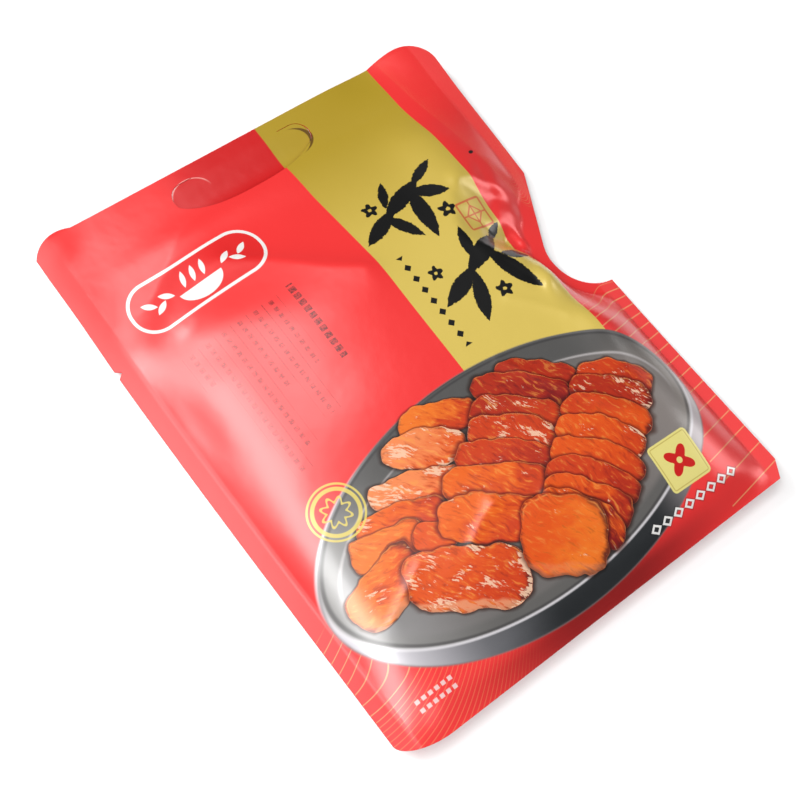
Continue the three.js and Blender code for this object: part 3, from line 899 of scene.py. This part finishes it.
class Net:
    """Adds nodes to one node tree. Values may be sockets or plain numbers."""

    def __init__(self, tree):
        self.tree = tree

    def feed(self, socket, value):
        if isinstance(value, bpy.types.NodeSocket):
            self.tree.links.new(value, socket)
        else:
            socket.default_value = value

    def add(self, kind, values, **settings):
        node = self.tree.nodes.new(kind)
        for name, value in settings.items():
            setattr(node, name, value)
        for key, value in values.items():
            self.feed(node.inputs[key], value)
        return node

    def math(self, operation, *values):
        return self.add("ShaderNodeMath", dict(enumerate(values)), operation=operation).outputs[0]

    def plus(self, a, b):
        return self.math("ADD", a, b)

    def minus(self, a, b):
        return self.math("SUBTRACT", a, b)

    def times(self, a, b):
        return self.math("MULTIPLY", a, b)

    def times_plus(self, a, b, c):
        return self.math("MULTIPLY_ADD", a, b, c)

    def larger(self, a, b):
        return self.math("MAXIMUM", a, b)

    def lesser(self, a, b):
        return self.math("MINIMUM", a, b)

    def absolute(self, value):
        return self.math("ABSOLUTE", value)

    def vector(self, operation, *values):
        node = self.add("ShaderNodeVectorMath", dict(enumerate(values)), operation=operation)
        return node.outputs["Value" if operation in ("LENGTH", "DOT_PRODUCT") else "Vector"]

    def dot(self, a, b):
        return self.vector("DOT_PRODUCT", a, b)

    def x(self, vector):
        return self.dot(vector, (1, 0, 0))

    def y(self, vector):
        return self.dot(vector, (0, 1, 0))

    def z(self, vector):
        return self.dot(vector, (0, 0, 1))

    def mix(self, mask, a, b):
        return self.add("ShaderNodeMix", {0: mask, 6: a, 7: b}, data_type="RGBA").outputs[2]

    def mix_vector(self, mask, a, b):
        return self.add("ShaderNodeMix", {0: mask, 4: a, 5: b}, data_type="VECTOR").outputs[1]

    def mix_value(self, mask, a, b):
        return self.add("ShaderNodeMix", {0: mask, 2: a, 3: b}).outputs[0]

    def step(self, value, low, high):
        """Smooth step from 0 at low to 1 at high; low may be above high."""
        limits = {0: value, 1: low, 2: high}
        return self.add("ShaderNodeMapRange", limits, interpolation_type="SMOOTHSTEP").outputs[0]

    def noise(self, vector, scale, detail=2.0, roughness=0.5):
        values = {"Vector": vector, "Scale": scale, "Detail": detail, "Roughness": roughness}
        return self.add("ShaderNodeTexNoise", values).outputs["Fac"]

    def repeat(self, value, pitch):
        """Distance to the middle of the nearest cell of a repeating row."""
        cell = self.minus(self.math("FRACT", self.math("DIVIDE", value, pitch)), 0.5)
        return self.times(self.absolute(cell), pitch)

    def local(self, place, x, y, turn=0.0, half_x=1.0, half_y=1.0):
        """Coordinates inside a shape placed at x, y, turned and scaled to its half sizes."""
        values = {0: place, 1: (x, y, 0), 2: (0, 0, math.radians(turn)), 3: (half_x, half_y, 1)}
        return self.add("ShaderNodeMapping", values, vector_type="TEXTURE").outputs[0]

    def strip(self, value, middle, half):
        """Distance outside a strip about a middle value."""
        return self.minus(self.absolute(self.minus(value, middle)), half)

    def blob(self, place, x, y, half_x, half_y, turn, power_x, power_y):
        """About the distance outside a shape: 2, 2 is an ellipse, 2, 1 a leaf, 1, 1 a lozenge."""
        near = self.vector("ABSOLUTE", self.local(place, x, y, turn, half_x, half_y))
        total = self.dot(self.vector("POWER", near, (power_x, power_y, 1)), (1, 1, 0))
        scale = half_y / power_y
        return self.times_plus(total, scale, -scale)

    def leaf(self, place, x, y, half_x, half_y, turn):
        return self.blob(place, x, y, half_x, half_y, turn, 2, 1)

    def oval(self, place, x, y, half_x, half_y, turn=0.0):
        return self.blob(place, x, y, half_x, half_y, turn, 2, 2)

    def box(self, place, x, y, half_x, half_y):
        """Distance outside a rectangle, in mm, correct near its sides."""
        near = self.vector("ABSOLUTE", self.local(place, x, y))
        past = self.vector("SUBTRACT", near, (half_x, half_y, 0))
        return self.larger(self.x(past), self.y(past))

    def round_box(self, place, x, y, half_x, half_y, corner, turn=0.0):
        """Distance outside a rectangle with rounded corners, in mm."""
        near = self.vector("ABSOLUTE", self.local(place, x, y, turn))
        past = self.vector("SUBTRACT", near, (half_x - corner, half_y - corner, 0))
        outside = self.vector("LENGTH", self.vector("MAXIMUM", past, (0, 0, 0)))
        within = self.lesser(self.larger(self.x(past), self.y(past)), -corner)
        return self.larger(within, self.minus(outside, corner))

    def petals(self, middle, count):
        """Wave round a middle: 1 along each petal, -1 between them."""
        angle = self.math("ARCTAN2", self.y(middle), self.x(middle))
        return self.math("COSINE", self.times(angle, count))

    def union(self, distances):
        total = distances[0]
        for distance in distances[1:]:
            total = self.lesser(total, distance)
        return total

    def fill(self, distance, soft=0.12):
        return self.step(distance, soft, -soft)

    def line(self, distance, width, soft=0.12):
        return self.fill(self.minus(self.absolute(distance), width / 2), soft)

    def paint(self, colour, mask, paint, strength=1.0):
        if strength != 1.0:
            mask = self.times(mask, strength)
        return self.mix(mask, colour, seen(paint))


VECTOR, COLOUR = "NodeSocketVector", "NodeSocketColor"

# What the front slice passes on: its own coordinates, size and seed, glints and crust with
# whether there is meat at all, two colours, and the shade thrown on it
MEAT_STATE = {
    "Spread": VECTOR, "Half size": VECTOR, "Traits": VECTOR,
    "Lit": COLOUR, "Far": COLOUR, "Shade": VECTOR,
}
SLICE_INPUTS = {
    "Place": VECTOR, "Middle": VECTOR, "Turn": VECTOR, "Powers": VECTOR, "Own size": VECTOR,
    "Own scale": VECTOR, "Own traits": VECTOR, "Own lit": COLOUR, "Own far": COLOUR,
}


def slice_group():
    """One slice laid over those behind it. Keeps the front slice's coordinates and colours."""
    tree = bpy.data.node_groups.new("meat slice", "ShaderNodeTree")
    for name, kind in (SLICE_INPUTS | MEAT_STATE).items():
        tree.interface.new_socket(name, in_out="INPUT", socket_type=kind)
    for name, kind in MEAT_STATE.items():
        tree.interface.new_socket(name, in_out="OUTPUT", socket_type=kind)
    net = Net(tree)
    given = tree.nodes.new("NodeGroupInput").outputs
    result = tree.nodes.new("NodeGroupOutput").inputs
    values = {0: given["Place"], 1: given["Middle"], 2: given["Turn"], 3: given["Own scale"]}
    spread = net.add("ShaderNodeMapping", values, vector_type="TEXTURE").outputs[0]
    powered = net.vector("POWER", net.vector("ABSOLUTE", spread), given["Powers"])
    total = net.dot(powered, (1, 1, 0))
    mask = net.step(total, *SLICE_EDGE)
    net.feed(result["Spread"], net.mix_vector(mask, given["Spread"], spread))
    net.feed(result["Half size"], net.mix_vector(mask, given["Half size"], given["Own size"]))
    net.feed(result["Traits"], net.mix_vector(mask, given["Traits"], given["Own traits"]))
    net.feed(result["Lit"], net.mix(mask, given["Lit"], given["Own lit"]))
    net.feed(result["Far"], net.mix(mask, given["Far"], given["Own far"]))
    thrown = net.mix_vector(net.step(total, *SHADOW_SPAN), SHADOW_TINT, (1, 1, 1))
    shadow = net.vector("MULTIPLY", given["Shade"], thrown)
    net.feed(result["Shade"], net.mix_vector(mask, shadow, (1, 1, 1)))
    return tree


def add_meat(net, place, plate):
    """The sliced meat over the plate's colour."""
    tree = slice_group()
    noise = {"Vector": place, "Scale": WAVER_SCALE, "Detail": WAVER_DETAIL}
    waver = net.add("ShaderNodeTexNoise", noise).outputs["Color"]
    waver = net.vector("SUBTRACT", waver, (0.5, 0.5, 0.5))
    waver = net.vector("MULTIPLY_ADD", waver, (WAVER_REACH, WAVER_REACH, 0), place)
    state = {"Shade": (1, 1, 1)}
    for seed, (x, y, half_x, half_y, turn, power, lit, far, glints, crust) in enumerate(SLICES):
        values = {
            "Place": waver, "Middle": (x, y, 0), "Turn": (0, 0, math.radians(turn)),
            "Powers": (power, power, 1), "Own size": (half_x, half_y, seed * SEED_STEP),
            "Own scale": (half_x, half_y, 1), "Own traits": (glints, crust, 1),
            "Own lit": seen(lit), "Own far": seen(far), **state,
        }
        node = net.add("ShaderNodeGroup", values, node_tree=tree)
        state = {name: node.outputs[name] for name in MEAT_STATE}
    return slice_surface(net, plate, state)


def slice_surface(net, plate, state):
    """The front slice's glaze, grain, rim, crust and glints, or the plate where there is none."""
    u, v = net.x(state["Spread"]), net.y(state["Spread"])
    glints, crust, cover = net.x(state["Traits"]), net.y(state["Traits"]), net.z(state["Traits"])
    meat_place = net.vector("MULTIPLY_ADD", state["Spread"], (1, 1, 0), (0, 0, 1))
    meat_place = net.vector("MULTIPLY", meat_place, state["Half size"])
    cubes = net.vector("POWER", net.vector("ABSOLUTE", state["Spread"]), (3, 3, 1))
    edge = net.dot(cubes, (1, 1, 0))
    values = {0: meat_place, 2: (0, 0, math.radians(GRAIN_LEAN)), 3: GRAIN_SIZE}
    grain = net.add("ShaderNodeMapping", values, vector_type="TEXTURE").outputs[0]
    fibres = net.noise(grain, 1.0, detail=3.0, roughness=GRAIN_ROUGHNESS)
    mottle = net.noise(net.vector("MULTIPLY", meat_place, MOTTLE_SIZE), 1.0)
    far = net.times_plus(u, FAR_ALONG, net.times_plus(v, FAR_ACROSS, FAR_MIDDLE))
    far = net.plus(far, net.times_plus(net.plus(fibres, mottle), FAR_GRAIN, -FAR_GRAIN))
    colour = net.mix(net.step(far, *FAR_SPAN), state["Lit"], state["Far"])
    colour = net.paint(colour, net.step(fibres, *DARK_GRAIN_SPAN), MEAT_RIM, strength=0.3)
    colour = net.paint(colour, net.step(fibres, *GOLD_GRAIN_SPAN), MEAT_GOLD, strength=0.4)
    ends = net.times(net.step(edge, *DARK_EDGE_SPAN), net.step(u, *DARK_END_SPAN))
    dark_end = net.times(ends, net.step(mottle, *DARK_MOTTLE_SPAN))
    colour = net.paint(colour, dark_end, MAHOGANY, strength=0.5)
    rim = net.times_plus(mottle, RIM_RAGGEDNESS, net.times_plus(u, RIM_ALONG, edge))
    rim = net.times_plus(fibres, RIM_RAGGEDNESS, net.times_plus(v, RIM_ACROSS, rim))
    colour = net.paint(colour, net.step(rim, *RIM_SPAN), MEAT_RIM, strength=0.85)
    thin = net.line(net.minus(edge, EDGE_LINE["place"]), EDGE_LINE["width"], EDGE_LINE["soft"])
    thin = net.times(thin, net.step(v, *EDGE_LINE_SPAN))
    thin = net.times(thin, net.step(fibres, *EDGE_GRAIN_SPAN))
    colour = net.paint(colour, thin, MEAT_EDGE, strength=0.6)
    pale = net.times(net.step(v, *SKIN_SPAN), crust)
    pale = net.times(pale, net.step(fibres, *SKIN_GRAIN_SPAN))
    colour = net.paint(colour, pale, MEAT_SKIN, strength=0.75)
    sparkle = net.noise(grain, SPARKLE_SCALE, detail=3.0, roughness=SPARKLE_ROUGHNESS)
    shine = net.times_plus(mottle, 1.0, net.times_plus(glints, GLINT_SHARE, GLINT_LEVEL))
    shine = net.plus(net.times_plus(ends, GLINT_ENDS_SHARE, shine), net.times(sparkle, SPARKLE_SHARE))
    colour = net.paint(colour, net.step(shine, *GLINT_SPAN), MEAT_SHINE, strength=0.8)
    return net.vector("MULTIPLY", net.mix(cover, plate, colour), state["Shade"])


def steel(net, from_left, x, right_span, tones):
    """Steel whose tone changes from the left, and again over a span further right."""
    left, middle, right = tones
    colour = net.mix(from_left, seen(left), seen(middle))
    return net.paint(colour, net.step(x, *right_span), right)


def add_plate(net, place, colour):
    """A round steel plate seen at a slant: wall, rim, well."""
    x, y = net.x(place), net.y(place)
    outer = net.oval(place, *PLATE, PRINT_TURN)
    rim = net.oval(place, *PLATE_RIM, PRINT_TURN)
    well = net.oval(place, *PLATE_WELL, PRINT_TURN)
    from_left = net.step(x, *STEEL_LEFT_SPAN)
    wall = steel(net, net.step(x, *WALL_LEFT_SPAN), x, WALL_DARK_SPAN, WALL_TONES)
    wall = net.paint(wall, net.step(x, *WALL_RIGHT_SPAN), WALL_RIGHT_TONE)
    band = steel(net, from_left, x, RIM_RIGHT_SPAN, RIM_TONES)
    floor = steel(net, from_left, x, WELL_RIGHT_SPAN, WELL_TONES)
    back = net.step(net.times_plus(x, STEEL_BACK_LEAN, y), *STEEL_BACK_SPAN)
    band = net.paint(band, back, RIM_BACK_TONE, strength=0.85)
    floor = net.paint(floor, back, WELL_BACK_TONE, strength=0.6)
    colour = net.mix(net.fill(outer, soft=0.25), colour, wall)
    colour = net.mix(net.fill(rim, soft=0.2), colour, band)
    colour = net.mix(net.fill(well, soft=1.2), colour, floor)
    shade = net.line(net.plus(rim, RIM_SHADE_OFFSET), width=0.7, soft=0.3)
    colour = net.paint(colour, shade, RIM_SHADE_TONE, strength=0.6)
    bright = net.larger(net.step(y, *RIM_GLEAM_Y_SPAN), net.step(x, *RIM_GLEAM_X_SPAN))
    gleam = net.times(net.line(rim, width=0.7, soft=0.35), bright)
    colour = net.paint(colour, gleam, RIM_GLEAM_TONE, strength=0.8)
    colour = net.paint(colour, net.line(outer, width=0.5, soft=0.3), PLATE_LINE_TONE, strength=0.6)
    sides = net.step(y, *WELL_GLEAM_Y_SPAN)
    sides = net.times(sides, net.step(net.absolute(x), *WELL_GLEAM_X_SPAN))
    gleam = net.times(net.line(well, width=0.5, soft=0.35), sides)
    return net.paint(colour, gleam, WELL_GLEAM_TONE, strength=0.6)


def thin_rows(net, count, width):
    """Thin lines where a row count passes its half steps."""
    away = net.absolute(net.minus(net.math("FRACT", count), 0.5))
    return net.step(away, width, net.times(width, ARC_CORE_SHARE))


def left_arcs(net, x, y):
    """Mask of the gold arcs across the bottom left corner."""
    from_left = net.plus(x, HALF_WIDTH)
    climb = net.times(net.times(from_left, LEFT_ARC_CLIMB), net.step(y, *LEFT_ARC_CLIMB_SPAN))
    curl = net.times(net.times(from_left, from_left), LEFT_ARC_CURL)
    drop = net.minus(net.plus(curl, climb), y)
    close = net.times(net.larger(net.minus(drop, LEFT_ARC_CLOSE_START), 0.0), LEFT_ARC_CLOSE)
    width = net.mix_value(net.step(drop, *LEFT_ARC_WIDTH_SPAN), *LEFT_ARC_WIDTHS)
    rows = thin_rows(net, net.times_plus(drop, 1 / LEFT_ARC_PITCH, close), width)
    corner = net.times(net.step(x, *LEFT_ARC_X_SPAN), net.step(y, *LEFT_ARC_Y_SPAN))
    rows = net.times(rows, corner)
    pale = net.mix_value(net.step(drop, *LEFT_ARC_PALE_SPAN), 1.0, LEFT_ARC_PALE)
    return net.times(rows, pale)


def right_arcs(net, x, y):
    """Mask of the gold arcs down the right side."""
    across = net.times(net.minus(x, HUMP_X), 1 / HUMP_HALF_WIDTH)
    hump = net.math("POWER", 2.0, net.times(net.times(across, across), HUMP_POWER))
    growth = net.math("POWER", 2.0, net.times_plus(y, HUMP_GROWTH, HUMP_GROWTH_START))
    lean = net.times(net.minus(x, HALF_WIDTH), RIGHT_ARC_LEAN)
    lift = net.times_plus(net.times(hump, growth), HUMP_HEIGHT, lean)
    depth = net.larger(net.minus(net.minus(lift, y), RIGHT_ARC_START), 0.0)
    # With a pitch that grows by a fixed step, the pitch at a depth is a square root
    pitch = net.times_plus(depth, 2 * RIGHT_ARC_PITCH_GROWTH, RIGHT_ARC_PITCH**2)
    pitch = net.math("SQRT", pitch)
    first = 0.5 - RIGHT_ARC_PITCH / RIGHT_ARC_PITCH_GROWTH
    count = net.times_plus(pitch, 1 / RIGHT_ARC_PITCH_GROWTH, first)
    rows = thin_rows(net, count, net.math("DIVIDE", RIGHT_ARC_WIDTH, pitch))
    side_strip = net.times(net.step(x, *RIGHT_ARC_X_SPAN), net.step(depth, 0.0, RIGHT_ARC_FADE))
    return net.times(rows, side_strip)


def add_gold_arcs(net, place, colour):
    """Fine gold arcs across the bottom left corner and down the right side."""
    x, y = net.x(place), net.y(place)
    arcs = net.larger(left_arcs(net, x, y), right_arcs(net, x, y))
    return net.paint(colour, arcs, GOLD_LINE, strength=0.62)


def blossom(net, place, x, y, size):
    """Distance outside a blossom with an open eye."""
    middle = net.local(place, x, y)
    wave = net.petals(middle, PETALS)
    edge = net.times_plus(wave, PETAL_SHARE * size, PETAL_MIDDLE_SHARE * size)
    away = net.vector("LENGTH", middle)
    return net.larger(net.minus(away, edge), net.minus(BLOSSOM_EYE_SHARE * size, away))


def add_branch(net, place, colour):
    """Ink branch with blossoms down the gold stripe, a square stamp and a row of lozenges."""
    shapes = [net.leaf(place, *stroke) for stroke in STROKES]
    shapes += [blossom(net, place, x, y, size) for x, y, size in BLOSSOMS]
    brush = net.noise(place, BRUSH_SCALE, detail=3.0, roughness=BRUSH_ROUGHNESS)
    brush = net.minus(brush, 0.5)
    ink = net.times_plus(brush, BRUSH_RAGGEDNESS, net.union(shapes))
    row = net.repeat(net.y(place), LOZENGE_PITCH)
    lozenge = net.plus(row, net.absolute(net.minus(net.x(place), LOZENGE_X)))
    lozenges = net.larger(net.minus(lozenge, LOZENGE_SIZE), net.box(place, *LOZENGE_ROW))
    colour = net.paint(colour, net.fill(net.lesser(ink, lozenges)), INK_BLACK)
    x, y, half = STAMP
    square = net.round_box(place, x, y, half, half, STAMP_CORNER)
    cells = net.vector("ABSOLUTE", net.local(place, x, y))
    cross = net.lesser(net.x(cells), net.y(cells))
    diamond = net.minus(net.dot(cells, (LATTICE_SLOPE, LATTICE_SLOPE, 0)), LATTICE_REACH)
    bars = net.minus(net.lesser(cross, net.absolute(diamond)), LATTICE_WIDTH)
    lattice = net.times(net.fill(bars), net.fill(square))
    stamp = net.larger(net.line(square, width=0.8), lattice)
    return net.paint(colour, stamp, STAMP_RED, strength=0.85)


def column_drop(net, x):
    """How far down the column of dashes at x runs, as a share of DROP_SCALE."""
    across = net.minus(x, COLUMN_LEFT)
    across = net.math("DIVIDE", across, COLUMN_PITCH * len(COLUMN_BOTTOMS))
    ramp = net.add("ShaderNodeValToRGB", {0: across})
    ramp.color_ramp.interpolation = "CONSTANT"
    while len(ramp.color_ramp.elements) < len(COLUMN_BOTTOMS):
        ramp.color_ramp.elements.new(0.5)
    for index, bottom in enumerate(COLUMN_BOTTOMS):
        ramp.color_ramp.elements[index].position = index / len(COLUMN_BOTTOMS)
        share = (COLUMN_TOP - bottom) / DROP_SCALE
        ramp.color_ramp.elements[index].color = (share, share, share, 1)
    return ramp.outputs[0]


def add_dashes(net, place, colour):
    """Columns of dashes between thin rules, and two rows of dashes near the bottom."""
    x, y = net.x(place), net.y(place)
    drop = column_drop(net, x)
    depth = net.minus(COLUMN_TOP, y)
    below = net.times_plus(drop, -DROP_SCALE, depth)
    outside = net.larger(below, net.times(depth, -1.0))
    half = COLUMN_PITCH * len(COLUMN_BOTTOMS) / 2
    outside = net.larger(outside, net.strip(x, COLUMN_LEFT + half, half))
    in_column = net.repeat(net.minus(x, COLUMN_LEFT), COLUMN_PITCH)
    rule = net.minus(COLUMN_PITCH / 2 - RULE_HALF, in_column)
    dash = net.minus(net.repeat(y, DASH_PITCH), DASH_HALF)
    dashes = net.larger(dash, net.minus(in_column, DASH_HALF))
    marks = net.larger(net.lesser(dashes, rule), outside)
    bold = net.larger(net.box(place, *BOLD_COLUMN), net.minus(dash, BOLD_EXTRA))
    broken = net.step(net.noise(place, BREAK_SCALE), *BREAK_SPAN)
    broken = net.mix_value(broken, *BREAK_STRENGTHS)
    colour = net.paint(colour, net.times(net.fill(marks, DASH_SOFT), broken), FAINT_RED)
    colour = net.paint(colour, net.times(net.fill(bold, DASH_SOFT), broken), RULE_RED)
    foot_x, foot_y = FOOT
    from_middle = net.absolute(net.minus(y, foot_y))
    rows = net.strip(from_middle, FOOT_ROW_OFFSET, FOOT_ROW_HALF)
    rows = net.larger(rows, net.strip(x, foot_x, FOOT_HALF_WIDTH))
    rows = net.larger(rows, net.minus(net.repeat(x, FOOT_DASH_PITCH), FOOT_DASH_HALF))
    return net.paint(colour, net.fill(rows), WHITE, strength=0.65)


def add_pill(net, place, colour):
    """White pill with a steaming bowl between leaves. Returns the red field and the white mask."""
    pill = net.round_box(place, *PILL)
    colour = net.paint(colour, net.fill(pill), PILL_RED, strength=0.5)
    shapes = [net.larger(net.oval(place, *BOWL), net.box(place, *BOWL_BODY))]
    middle = PILL[0]
    for at in (-STEAM_PITCH, 0, STEAM_PITCH):
        shapes.append(net.leaf(place, middle + at, STEAM_Y, *STEAM))
    for way in (-1, 1):
        for along, lean in PILL_LEAVES:
            leaf_y = PILL_LEAF_Y + PILL_LEAF_RISE * lean
            shapes.append(net.leaf(place, middle + way * along, leaf_y, *PILL_LEAF, way * lean))
    return colour, net.larger(net.fill(net.union(shapes)), net.line(pill, PILL_LINE))


def ring_seal(net, place):
    """Mask of two rings round a star."""
    middle = net.local(place, *RING)
    wave = net.petals(middle, STAR_POINTS)
    away = net.vector("LENGTH", middle)
    star = net.minus(away, net.times_plus(wave, STAR_POINT_HEIGHT, STAR_SIZE))
    outer, inner = (net.line(net.minus(away, radius), width) for radius, width in RING_LINES)
    return net.larger(net.larger(outer, inner), net.line(star, STAR_LINE))


def add_gold_square(net, place, colour):
    """Gold square with a thin frame and a flower."""
    square = net.round_box(place, *GOLD_SQUARE)
    colour = net.paint(colour, net.fill(square), PALE_GOLD)
    frame_line = net.line(net.plus(square, SQUARE_LINE_INSET), SQUARE_LINE)
    colour = net.paint(colour, frame_line, DULL_GOLD, strength=0.6)
    middle = net.local(place, *FLOWER)
    wave = net.petals(middle, FLOWER_PETALS)
    away = net.vector("LENGTH", middle)
    flower = net.minus(away, net.times_plus(wave, FLOWER_PETAL_HEIGHT, FLOWER_SIZE))
    flower = net.larger(flower, net.minus(FLOWER_EYE, away))
    return net.paint(colour, net.fill(flower), FLOWER_RED)


def add_white_row(net, place, colour):
    """Row of hollow white lozenges with a thin dark edge."""
    row = net.local(place, *WHITE_ROW)
    cell = net.repeat(net.x(row), WHITE_PITCH)
    lozenge = net.times_plus(cell, WHITE_SLOPE, net.absolute(net.y(row)))
    lozenge = net.minus(lozenge, WHITE_SIZE)
    hollow = net.larger(lozenge, net.minus(-WHITE_LINE, lozenge))
    hollow = net.larger(hollow, net.box(row, 0, 0, *WHITE_ROW_HALF))
    shade = net.fill(net.minus(hollow, WHITE_SHADE_OFFSET), soft=0.3)
    colour = net.paint(colour, shade, INK_BLACK, strength=0.4)
    return net.paint(colour, net.fill(hollow), WHITE)


def add_badges(net, place, colour):
    """White pill, yellow ring seal, gold square, white row and the small dark dot."""
    colour, white = add_pill(net, place, colour)
    seal = ring_seal(net, place)
    colour = net.paint(net.mix(white, colour, seen(WHITE)), seal, SEAL_YELLOW, strength=0.8)
    colour = add_gold_square(net, place, colour)
    colour = add_white_row(net, place, colour)
    return net.paint(colour, net.fill(net.oval(place, *DARK_DOT)), INK_BLACK)


def film_place(net):
    """Place on the flat film, in millimetres from its middle."""
    film_map = net.add("ShaderNodeUVMap", {}, uv_map="film").outputs[0]
    return net.vector("MULTIPLY_ADD", film_map, (WIDTH, LENGTH, 0), (-HALF_WIDTH, -HALF_LENGTH, 0))


def add_slit_shades(net, place, colour):
    """Painted shadow and highlight at the slit: a dark crescent of shadow on the gold and a glint on the
    red.
    """
    # Painted shadow where the gap under the flap's end would be dark
    outer = net.oval(place, *SHADE_CRESCENT)
    bite = net.times(net.oval(place, *SHADE_CRESCENT_BITE), -1.0)
    crescent = net.fill(net.larger(outer, bite))
    colour = net.paint(colour, crescent, SLIT_SHADE, strength=0.85)
    glint = net.line(net.oval(place, *SLIT_GLINT), SLIT_GLINT_LINE)
    glint = net.times(glint, net.step(net.y(place), *SLIT_GLINT_SPAN))
    return net.paint(colour, glint, SLIT_SHINE, strength=0.7)


def front_print(net, place):
    """Base colour of the printed front, with its painted shade and painted glint."""
    stripe = net.box(place, *STRIPE)
    # Painted shade: the gold stripe is darkened towards the top of the film
    gold = net.mix(net.step(net.y(place), *GOLD_SHADE_FADE), seen(GOLD), seen(SHADED_GOLD_TOP))
    # Painted shade: the flap in the slit and the red round it are darkened, as if in shade
    belly = net.blob(place, *FLAP_SHADE_BELLY)
    flap = net.fill(net.round_box(place, *FLAP_SHADE_BOX), FLAP_SHADE_SOFT)
    shaded = net.larger(flap, net.step(net.x(place), *FLAP_SHADE_SPAN))
    colour = net.paint(seen(RED), net.times(shaded, net.fill(belly, FLAP_SHADE_SOFT)), FLAP_SHADE_RED)
    under = net.step(net.y(place), *SKIRT_Y_SPAN)
    under = net.times(under, net.step(net.absolute(net.x(place)), *SKIRT_X_SPAN))
    colour = net.paint(colour, under, SHADED_RED, strength=0.8)
    colour = net.mix(net.fill(stripe), colour, gold)
    colour = add_slit_shades(net, place, colour)
    colour = add_gold_arcs(net, place, colour)
    colour = add_branch(net, place, colour)
    colour = add_dashes(net, place, colour)
    colour = add_meat(net, place, add_plate(net, place, colour))
    return add_badges(net, place, colour)


def back_print(net, place):
    """Base colour of the plain red back."""
    return seen(BACK_RED)


def film_material(name, base_colour):
    """Satin film, duller along its side seals. base_colour draws its colour."""
    material = bpy.data.materials.new(name)
    material.use_nodes = True
    net = Net(material.node_tree)
    surface = material.node_tree.nodes["Principled BSDF"]
    surface.inputs["Metallic"].default_value = FILM_METALLIC
    surface.inputs["Specular IOR Level"].default_value = FILM_SPECULAR
    place = film_place(net)
    across = net.absolute(net.x(place))
    sealed = net.step(across, SEAL_ROUGHNESS_START, SEAL_ROUGHNESS_FULL)
    net.feed(surface.inputs["Roughness"], net.mix_value(sealed, FILM_ROUGHNESS, SEAL_ROUGHNESS))
    net.feed(surface.inputs["Base Color"], base_colour(net, place))
    ripple = {"Height": net.noise(place, RIPPLE_SCALE), "Distance": RIPPLE_HEIGHT}
    net.feed(surface.inputs["Normal"], net.add("ShaderNodeBump", ripple).outputs[0])
    return material


def edge_material(name, colour):
    """Bare cut edge of the laminate, duller than its faces."""
    material = bpy.data.materials.new(name)
    material.use_nodes = True
    surface = material.node_tree.nodes["Principled BSDF"]
    surface.inputs["Roughness"].default_value = EDGE_ROUGHNESS
    surface.inputs["Specular IOR Level"].default_value = EDGE_SPECULAR
    surface.inputs["Base Color"].default_value = seen(colour)
    return material


def dress_film(mesh):
    """Print on the front, plain red on the back, and the bare laminate round the cut edges."""
    mesh.materials.clear()
    mesh.materials.append(film_material("printed front", front_print))
    mesh.materials.append(film_material("plain back", back_print))
    mesh.materials.append(edge_material("cut edge", EDGE_RED))
    upward = np.empty(len(mesh.polygons) * 3)
    mesh.polygons.foreach_get("normal", upward)
    upward = upward.reshape(-1, 3)[:, 2]
    choice = np.where(upward > EDGE_TILT, 0, np.where(upward < -EDGE_TILT, 1, 2))
    mesh.polygons.foreach_set("material_index", choice.astype(np.int32))


pouch = trimmed_film()
add_film_map(pouch.data)
pouch.data.polygons.foreach_set("use_smooth", [True] * len(pouch.data.polygons))
pouch.data.set_sharp_from_angle(angle=math.radians(RIM_SHARPNESS))
dress_film(pouch.data)
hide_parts("pouch")
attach(pouch, "root")

# Studio


def pale_floor():
    """Wide white floor under the pouch."""
    bm = bmesh.new()
    bmesh.ops.create_grid(bm, x_segments=1, y_segments=1, size=FLOOR_HALF_SIZE)
    floor = new_object("floor", bm)
    material = bpy.data.materials.new("pale floor")
    material.use_nodes = True
    surface = material.node_tree.nodes["Principled BSDF"]
    surface.inputs["Base Color"].default_value = FLOOR_PAINT
    floor.data.materials.append(material)
    return floor


def softbox(name, towards, width, height, watts):
    """Rectangular lamp that faces the origin."""
    lamp = bpy.data.lights.new(name, "AREA")
    lamp.shape = "RECTANGLE"
    lamp.energy = watts
    lamp.size = width
    lamp.size_y = height
    holder = bpy.data.objects.new(name, lamp)
    bpy.context.scene.collection.objects.link(holder)
    direction = Vector(towards).normalized()
    holder.location = direction * LAMP_DISTANCE
    holder.rotation_euler = direction.to_track_quat("Z", "Y").to_euler()


pale_floor()
for lamp_name, lamp_values in LAMPS.items():
    softbox(lamp_name, *lamp_values)

world = bpy.data.worlds.new("studio")
world.use_nodes = True
world.node_tree.nodes["Background"].inputs["Color"].default_value = (1, 1, 1, 1)
world.node_tree.nodes["Background"].inputs["Strength"].default_value = WORLD_STRENGTH
bpy.context.scene.world = world
bpy.context.scene.view_settings.view_transform = "Standard"

camera = bpy.data.objects.new("camera", bpy.data.cameras.new("camera"))
bpy.context.scene.collection.objects.link(camera)
camera.data.lens = CAMERA_LENS
camera.data.sensor_width = CAMERA_SENSOR
camera.matrix_world = Matrix.Translation(Vector(CAMERA_PLACE) * MM) @ Matrix(CAMERA_AXES).to_4x4()
bpy.context.scene.camera = camera
